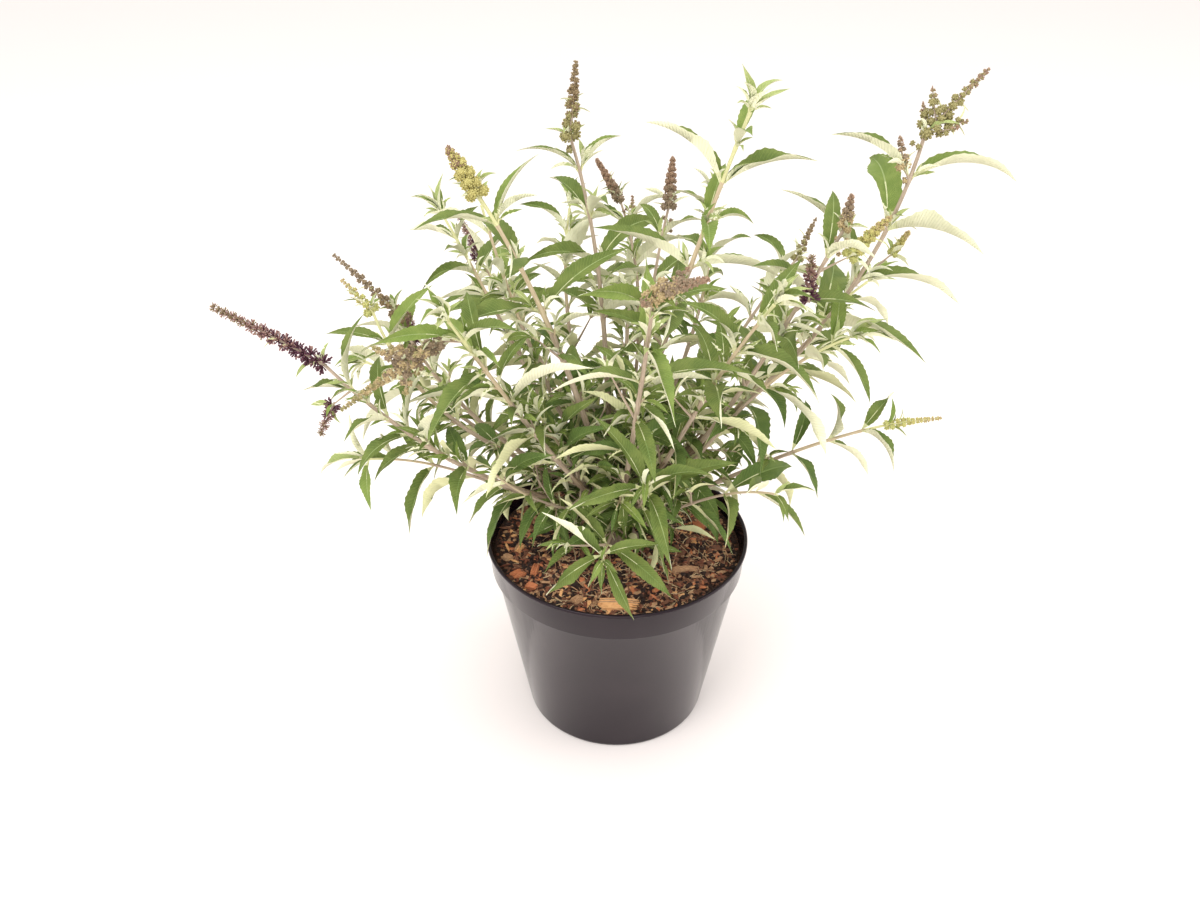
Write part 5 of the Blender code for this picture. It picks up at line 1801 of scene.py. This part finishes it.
@dataclass
class Pot:
    """A round nursery pot: a tapering shell with a wide collar, a rolled lip and drain holes."""

    foot_radius: float = 67.5
    wall: float = 1.5
    floor: float = 2.0
    collar_height: float = 22.9
    collar_step: float = 2.5
    lip_height: float = 2.6
    lip_roll: float = 1.2
    sides: int = 160
    drain_count: int = 4
    drain_radius: float = 5.0
    drain_ring: float = 48.0
    drain_sides: int = 24
    sharp: float = 55.0

    @property
    def body_top(self) -> float:
        """The body's outer radius just under the collar."""
        return POT_RIM_RADIUS - self.lip_roll - self.collar_step - 1.6

    @property
    def inner_rim(self) -> float:
        """The inner radius just under the lip."""
        return POT_RIM_RADIUS - self.lip_roll - self.wall

    def inner_radius(self, height: float) -> float:
        """The wall's inner radius at a height inside the collar."""
        heights = (POT_HEIGHT - self.collar_height - self.wall, POT_HEIGHT - 1.0)
        return float(np.interp(height, heights, (self.body_top - self.wall, self.inner_rim)))

    def profile(self) -> list[Pair]:
        """Draw the wall's outline.

        Returns:
            Radius and height pairs, from the underside's middle over the lip to the floor's.
        """
        top, rim, foot, body = POT_HEIGHT, POT_RIM_RADIUS, self.foot_radius, self.body_top
        collar, lip, inner = top - self.collar_height, top - self.lip_height, self.inner_rim
        outside = [(0.0, 0.0), (foot - 0.6, 0.0), (foot + 0.5, 0.8), (foot + 0.85, 2.2), (body - 0.02, collar - 0.7),
                   (body + 0.5, collar - 0.05), (body + self.collar_step - 0.35, collar + 0.1),
                   (body + self.collar_step + 0.05, collar + 0.8), (rim - self.lip_roll - 0.02, lip - 0.35)]
        rolled = [(rim - self.lip_roll + 0.15, lip), (rim - 0.3, lip + 0.15), (rim - 0.04, lip + 0.7),
                  (rim - 0.08, top - 0.75), (rim - 0.45, top - 0.2), (rim - 1.1, top)]
        inside = [(inner + 0.8, top - 0.08), (inner + 0.25, top - 0.6), (inner, top - 1.6),
                  (body - self.wall, collar - self.wall), (foot - self.wall, self.floor + 1.2),
                  (foot - self.wall - 2.0, self.floor), (0.0, self.floor)]
        return outside + rolled + inside

    def build(self) -> None:
        """Turn the wall and cut the drain holes."""
        made = Shell("pot_shell", turned(self.profile(), self.sides, Dress.POT)).form(self.sharp)
        for k in range(self.drain_count):
            self.drain(made, heading(360 * (k + 0.5) / self.drain_count) * self.drain_ring)
        made.data.set_sharp_from_angle(angle=math.radians(self.sharp))
        settle(made, "pot", "pot")

    def drain(self, pot: bpy.types.Object, place: Vector) -> None:
        """Cut one hole through the floor.

        Args:
            pot: the pot's object.
            place: the hole's middle.
        """
        radius, low, high = self.drain_radius, -2 * self.floor, 3 * self.floor
        rod = turned([(0.0, low), (radius, low), (radius, high), (0.0, high)], self.drain_sides, Dress.POT)
        rod.points += np.array(place)
        cutter = Shell("drain_cutter", rod).form(self.sharp)
        for made in (pot, cutter):
            bpy.context.scene.collection.objects.link(made)
        cut = pot.modifiers.new("drain", "BOOLEAN")
        cut.operation, cut.object, cut.solver = "DIFFERENCE", cutter, "EXACT"
        graph = bpy.context.evaluated_depsgraph_get()
        graph.update()
        shaped = bpy.data.meshes.new_from_object(pot.evaluated_get(graph))
        pot.modifiers.clear()
        pot.data = shaped
        bpy.data.objects.remove(cutter)
        bpy.context.scene.collection.objects.unlink(pot)


@dataclass
class Compost:
    """Peat with crumbs, wood chips and fibres, filled to just under the pot's rim."""

    pot: Pot
    edge_fall: float = 2.0
    flat_radius: float = 30.0
    relief: float = 2.6
    sides: int = 220
    rings: int = 74
    crumbs: int = 5200
    slivers: int = 860
    fibres: int = 560
    jitter: float = 0.28  # how far a lump's corners stray from its ball
    sharp: float = 25.0
    crumb_shares: tuple = ((Dress.CRUMB_DARK, 0.54), (Dress.CRUMB_BROWN, 0.25), (Dress.CRUMB_RED, 0.12),
                           (Dress.CHIP_TAN, 0.09))
    sliver_shares: tuple = ((Dress.CRUMB_BROWN, 0.32), (Dress.CRUMB_RED, 0.18), (Dress.CHIP_TAN, 0.24),
                            (Dress.CHIP_ORANGE, 0.14), (Dress.CHIP_PALE, 0.12))
    chips: tuple = (  # large wood chips: place, length, width, heading in radians and finish
        ((0.2, -71.0), 29.0, 9.5, -0.06, Dress.CHIP_PALE), ((-70.5, -37.0), 12.0, 6.0, 0.65, Dress.CHIP_ORANGE),
        ((-79.0, -18.0), 9.0, 4.5, -0.5, Dress.CHIP_TAN), ((-58.5, -33.0), 16.0, 3.0, 1.4, Dress.CHIP_ORANGE),
        ((48.0, -33.0), 20.0, 2.2, 0.1, Dress.CHIP_TAN), ((26.0, -22.0), 8.0, 4.5, 0.9, Dress.CHIP_TAN),
        ((-28.0, -65.0), 10.0, 4.5, 0.85, Dress.CHIP_TAN), ((62.0, 20.0), 14.0, 5.0, 2.1, Dress.CHIP_ORANGE),
        ((-60.0, -52.0), 9.0, 4.0, -0.4, Dress.CHIP_ORANGE), ((-71.0, -8.0), 11.0, 3.5, 1.2, Dress.CHIP_PALE),
        ((-50.0, 48.0), 15.0, 6.0, -0.9, Dress.CHIP_PALE), ((20.0, 70.0), 12.0, 5.0, 0.4, Dress.CHIP_TAN),
    )
    rng: np.random.Generator = field(default_factory=partial(np.random.default_rng, SEED))
    small: Shell = field(default_factory=partial(Shell, "compost_crumbs"))
    large: Shell = field(default_factory=partial(Shell, "compost_chips"))

    def edge(self) -> float:
        """The radius of the surface where it meets the pot's wall."""
        return self.pot.inner_radius(SOIL_LEVEL - self.edge_fall) - GAP

    def height(self, x: float, y: float) -> float:
        """The height of the surface at a place."""
        share = max(0.0, (math.hypot(x, y) - self.flat_radius) / (self.edge() - self.flat_radius))
        return (SOIL_LEVEL - self.edge_fall * share ** 1.6 - 0.8
                + self.relief * noise.fractal(Vector((x, y, 3.0)) * 0.055, 0.8, 2.1, 5) * 0.55)

    def build(self) -> None:
        """Make the peat, a closed body with a rough top, and what lies on it."""
        pot = self.pot
        foot, floor = pot.foot_radius - pot.wall - GAP, pot.floor + GAP
        wall = [(foot - 2.0, floor), (foot - 0.3, pot.floor + 2.0),
                (pot.body_top - pot.wall - GAP, POT_HEIGHT - pot.collar_height - pot.wall)]
        top = [(radius, SOIL_LEVEL) for radius in (*np.linspace(self.edge(), 1.0, self.rings), 0.0)]
        bed = turned([(0.0, floor), *wall, *top], self.sides, Dress.PEAT)
        for spot in bed.points:
            if spot[2] == SOIL_LEVEL:
                spot[2] = self.height(spot[0], spot[1])
        Shell("compost_bed", bed).make(60, "compost", "compost")
        self.build_litter()

    def lump(self, place: Pair, size: Triple, lean: float, dress: Dress, shell: Shell, sunk: float = 0.3) -> None:
        """Lay a jagged crumb or chip on the surface.

        Args:
            place: where it lies.
            size: its half length, width and thickness.
            lean: how far it may tip, in radians.
            dress: its finish.
            shell: the piece that it joins.
            sunk: how deep it sits, in half thicknesses.
        """
        turn, tip = self.rng.uniform(0, ANY_TURN), self.rng.uniform(-lean, lean)
        points = BALL_POINTS * (1 + self.rng.uniform(-self.jitter, self.jitter, (len(BALL_POINTS), 1)))
        rotation = np.array(Matrix.Rotation(turn, 3, "Z") @ Matrix.Rotation(tip, 3, "Y"))
        points = points * np.array(size) @ rotation.T
        points = points + np.array([*place, self.height(*place) + size[2] * (1 - sunk)])
        shell.add(Patch(points, BALL_FACES, [dress] * len(BALL_FACES), np.zeros((len(points), 2))))

    def scatter(self, count: int, margin: float) -> Array:
        """Places spread evenly over the surface, a margin away from its edge."""
        radii, angles = np.sqrt(self.rng.uniform(0, 1, count)), self.rng.uniform(0, FULL_TURN, count)
        return ((self.edge() - margin) * radii * [np.cos(angles), np.sin(angles)]).T

    def pick(self, shares: tuple) -> Dress:
        """A finish drawn by its share."""
        finishes, odds = zip(*shares)
        return finishes[self.rng.choice(len(odds), p=odds)]

    def build_litter(self) -> None:
        """Make the crumbs, slivers of wood, fibres and large chips."""
        rng = self.rng
        for place in self.scatter(self.crumbs, 2.4):
            size = rng.uniform(0.6, 2.1) * rng.uniform(0.55, 1.0)
            dress = self.pick(self.crumb_shares)
            self.lump(tuple(place), (size * rng.uniform(0.9, 1.9), size, size * rng.uniform(0.5, 0.9)), 0.6,
                      dress, self.small)
        for place in self.scatter(self.slivers, 4.9):
            length = rng.uniform(1.6, 5.8)
            dress = self.pick(self.sliver_shares)
            self.lump(tuple(place), (length, rng.uniform(0.7, 2.3), rng.uniform(0.35, 0.8)), 0.35, dress,
                      self.large, -0.6)
        for place in self.scatter(self.fibres, 7.4):
            self.fibre(tuple(place))
        for chip in self.chips:
            self.split_chip(*chip)
        for shell in (self.small, self.large):
            shell.make(self.sharp, "compost")

    def fibre(self, place: Pair) -> None:
        """Lay a thin bent straw on the crumbs.

        Args:
            place: where it starts.
        """
        rng, points, (x, y) = self.rng, [], place
        turn, length, curl = rng.uniform(0, ANY_TURN), rng.uniform(5, 17), rng.uniform(-0.08, 0.08)
        for _ in range(5):
            if math.hypot(x, y) > self.edge() - 3.0:
                break
            points.append((x, y, self.height(x, y) + 1.1 + rng.uniform(-0.3, 0.5)))
            x, y = x + math.cos(turn) * length / 4, y + math.sin(turn) * length / 4
            turn += curl * length / 4
        if len(points) > 2:
            dress = Dress.FIBRE if rng.random() < 0.6 else Dress.CHIP_TAN
            self.large.add(sweep(np.array(points), np.full(len(points), rng.uniform(0.16, 0.42)), 4, dress))

    def split_chip(self, place: Pair, length: float, width: float, turn: float, dress: Dress) -> None:
        """Lay a large wood chip: splinters of uneven length, side by side in two layers.

        Args:
            place: its middle.
            length: its length.
            width: its width.
            turn: its heading in radians.
            dress: the finish of most of its splinters.
        """
        rng, strands = self.rng, max(3, round(width / 1.1))
        onward = np.array([math.cos(turn), math.sin(turn), 0.0])
        across = np.array([-math.sin(turn), math.cos(turn), 0.0])
        base = np.array([*place, self.height(*place) + 2.6])
        for k in range(2 * strands):
            offset = (k % strands / (strands - 1) - 0.5) * width
            first, last = (-length / 2 + rng.uniform(0, 0.16) * length, length / 2 - rng.uniform(0, 0.22) * length)
            points = np.array([base + onward * spot + across * (offset + rng.uniform(-0.15, 0.15))
                               + np.array([0, 0, rng.uniform(-0.2, 0.25) - 1.1 * (k // strands)])
                               for spot in np.linspace(first, last, 6)])
            radii = np.array([0.5, 0.95, 1.0, 1.0, 0.9, 0.4]) * rng.uniform(0.85, 1.15)
            self.large.add(sweep(points, radii, 5, dress if rng.random() < 0.8 else Dress.CHIP_TAN))


def ball() -> tuple[Array, list[tuple[int, ...]]]:
    """Form a twenty-faced ball of unit radius.

    Returns:
        Its points and faces.
    """
    golden = (1 + math.sqrt(5)) / 2
    first = np.array([(across, up * golden, 0.0) for up in (1, -1) for across in (-1, 1)])
    points = unit(np.concatenate([np.roll(first, shift, axis=1) for shift in range(3)]))
    near = [trio for trio in combinations(range(len(points)), 3)
            if all((points[a] - points[b]) @ (points[a] - points[b]) < 1.5 for a, b in combinations(trio, 2))]
    return points, [(a, b, c) if np.linalg.det(points[[a, b, c]]) > 0 else (a, c, b) for a, b, c in near]


BALL_POINTS, BALL_FACES = ball()


@dataclass(frozen=True)
class SoftLamp:
    """A square studio light."""

    name: str
    place: Triple
    target: Triple
    side: float
    power: float

    def build(self) -> None:
        """Make the light and turn it to its target."""
        data = bpy.data.lights.new(self.name, "AREA")
        data.shape, data.size, data.energy = "SQUARE", self.side, self.power
        made = bpy.data.objects.new(self.name, data)
        made.location = self.place
        made.rotation_euler = (Vector(self.target) - Vector(self.place)).to_track_quat("-Z", "Y").to_euler()
        bpy.context.scene.collection.objects.link(made)


@dataclass(frozen=True)
class Studio:
    """A pale floor, soft lights and the camera at the photograph's angle."""

    camera_place: Triple = (-0.0124, -0.6376, 0.6196)
    camera_pitch: float = 57.9
    lens: float = 32.4
    sensor: float = 36.0
    floor_side: float = 40.0
    floor_drop: float = 0.0003  # under the pot's foot, so that the two don't share a plane
    sky: float = 1.1
    sky_colour: Triple = (1.0, 0.995, 0.99)
    lamps: tuple[SoftLamp, ...] = (
        SoftLamp("key_lamp", (-0.9, -1.1, 1.9), (0.0, 0.0, 0.25), 1.3, 21.0),
        SoftLamp("top_lamp", (0.3, 0.3, 2.3), (0.0, 0.0, 0.2), 1.8, 15.0),
        SoftLamp("front_lamp", (0.15, -2.2, 0.8), (0.0, 0.0, 0.25), 1.4, 14.0),
        SoftLamp("side_lamp", (1.9, -0.3, 1.0), (0.0, 0.0, 0.2), 1.2, 8.0),
    )

    def build(self) -> None:
        """Make the floor, the lights, the white surroundings and the camera."""
        scene, half = bpy.context.scene, self.floor_side / 2
        mesh = bpy.data.meshes.new("floor")
        mesh.from_pydata([(x * half, y * half, -self.floor_drop) for x, y in ((-1, -1), (1, -1), (1, 1), (-1, 1))],
                         [], [(0, 1, 2, 3)])
        mesh.materials.append(Dress.FLOOR.material())
        floor = bpy.data.objects.new("floor", mesh)
        scene.collection.objects.link(floor)
        for lamp in self.lamps:
            lamp.build()
        scene.world = bpy.data.worlds.new("white_room")
        scene.world.use_nodes = True
        sky = scene.world.node_tree.nodes["Background"]
        sky.inputs["Color"].default_value = (*self.sky_colour, 1.0)
        sky.inputs["Strength"].default_value = self.sky
        data = bpy.data.cameras.new("camera")
        data.lens, data.sensor_width, data.clip_end = self.lens, self.sensor, 100.0
        camera = bpy.data.objects.new("camera", data)
        camera.location = self.camera_place
        camera.rotation_euler = (math.radians(self.camera_pitch), 0.0, 0.0)
        scene.collection.objects.link(camera)
        scene.camera = camera
        scene.view_settings.view_transform = "Standard"


def main() -> None:
    """Build the pot, the compost, the bush and the studio."""
    logging.basicConfig(level=logging.INFO, format="%(name)s %(message)s")
    pot = Pot()
    pot.build()
    Compost(pot).build()
    Bush().build()
    Studio().build()


if __name__ == "__main__":
    main()
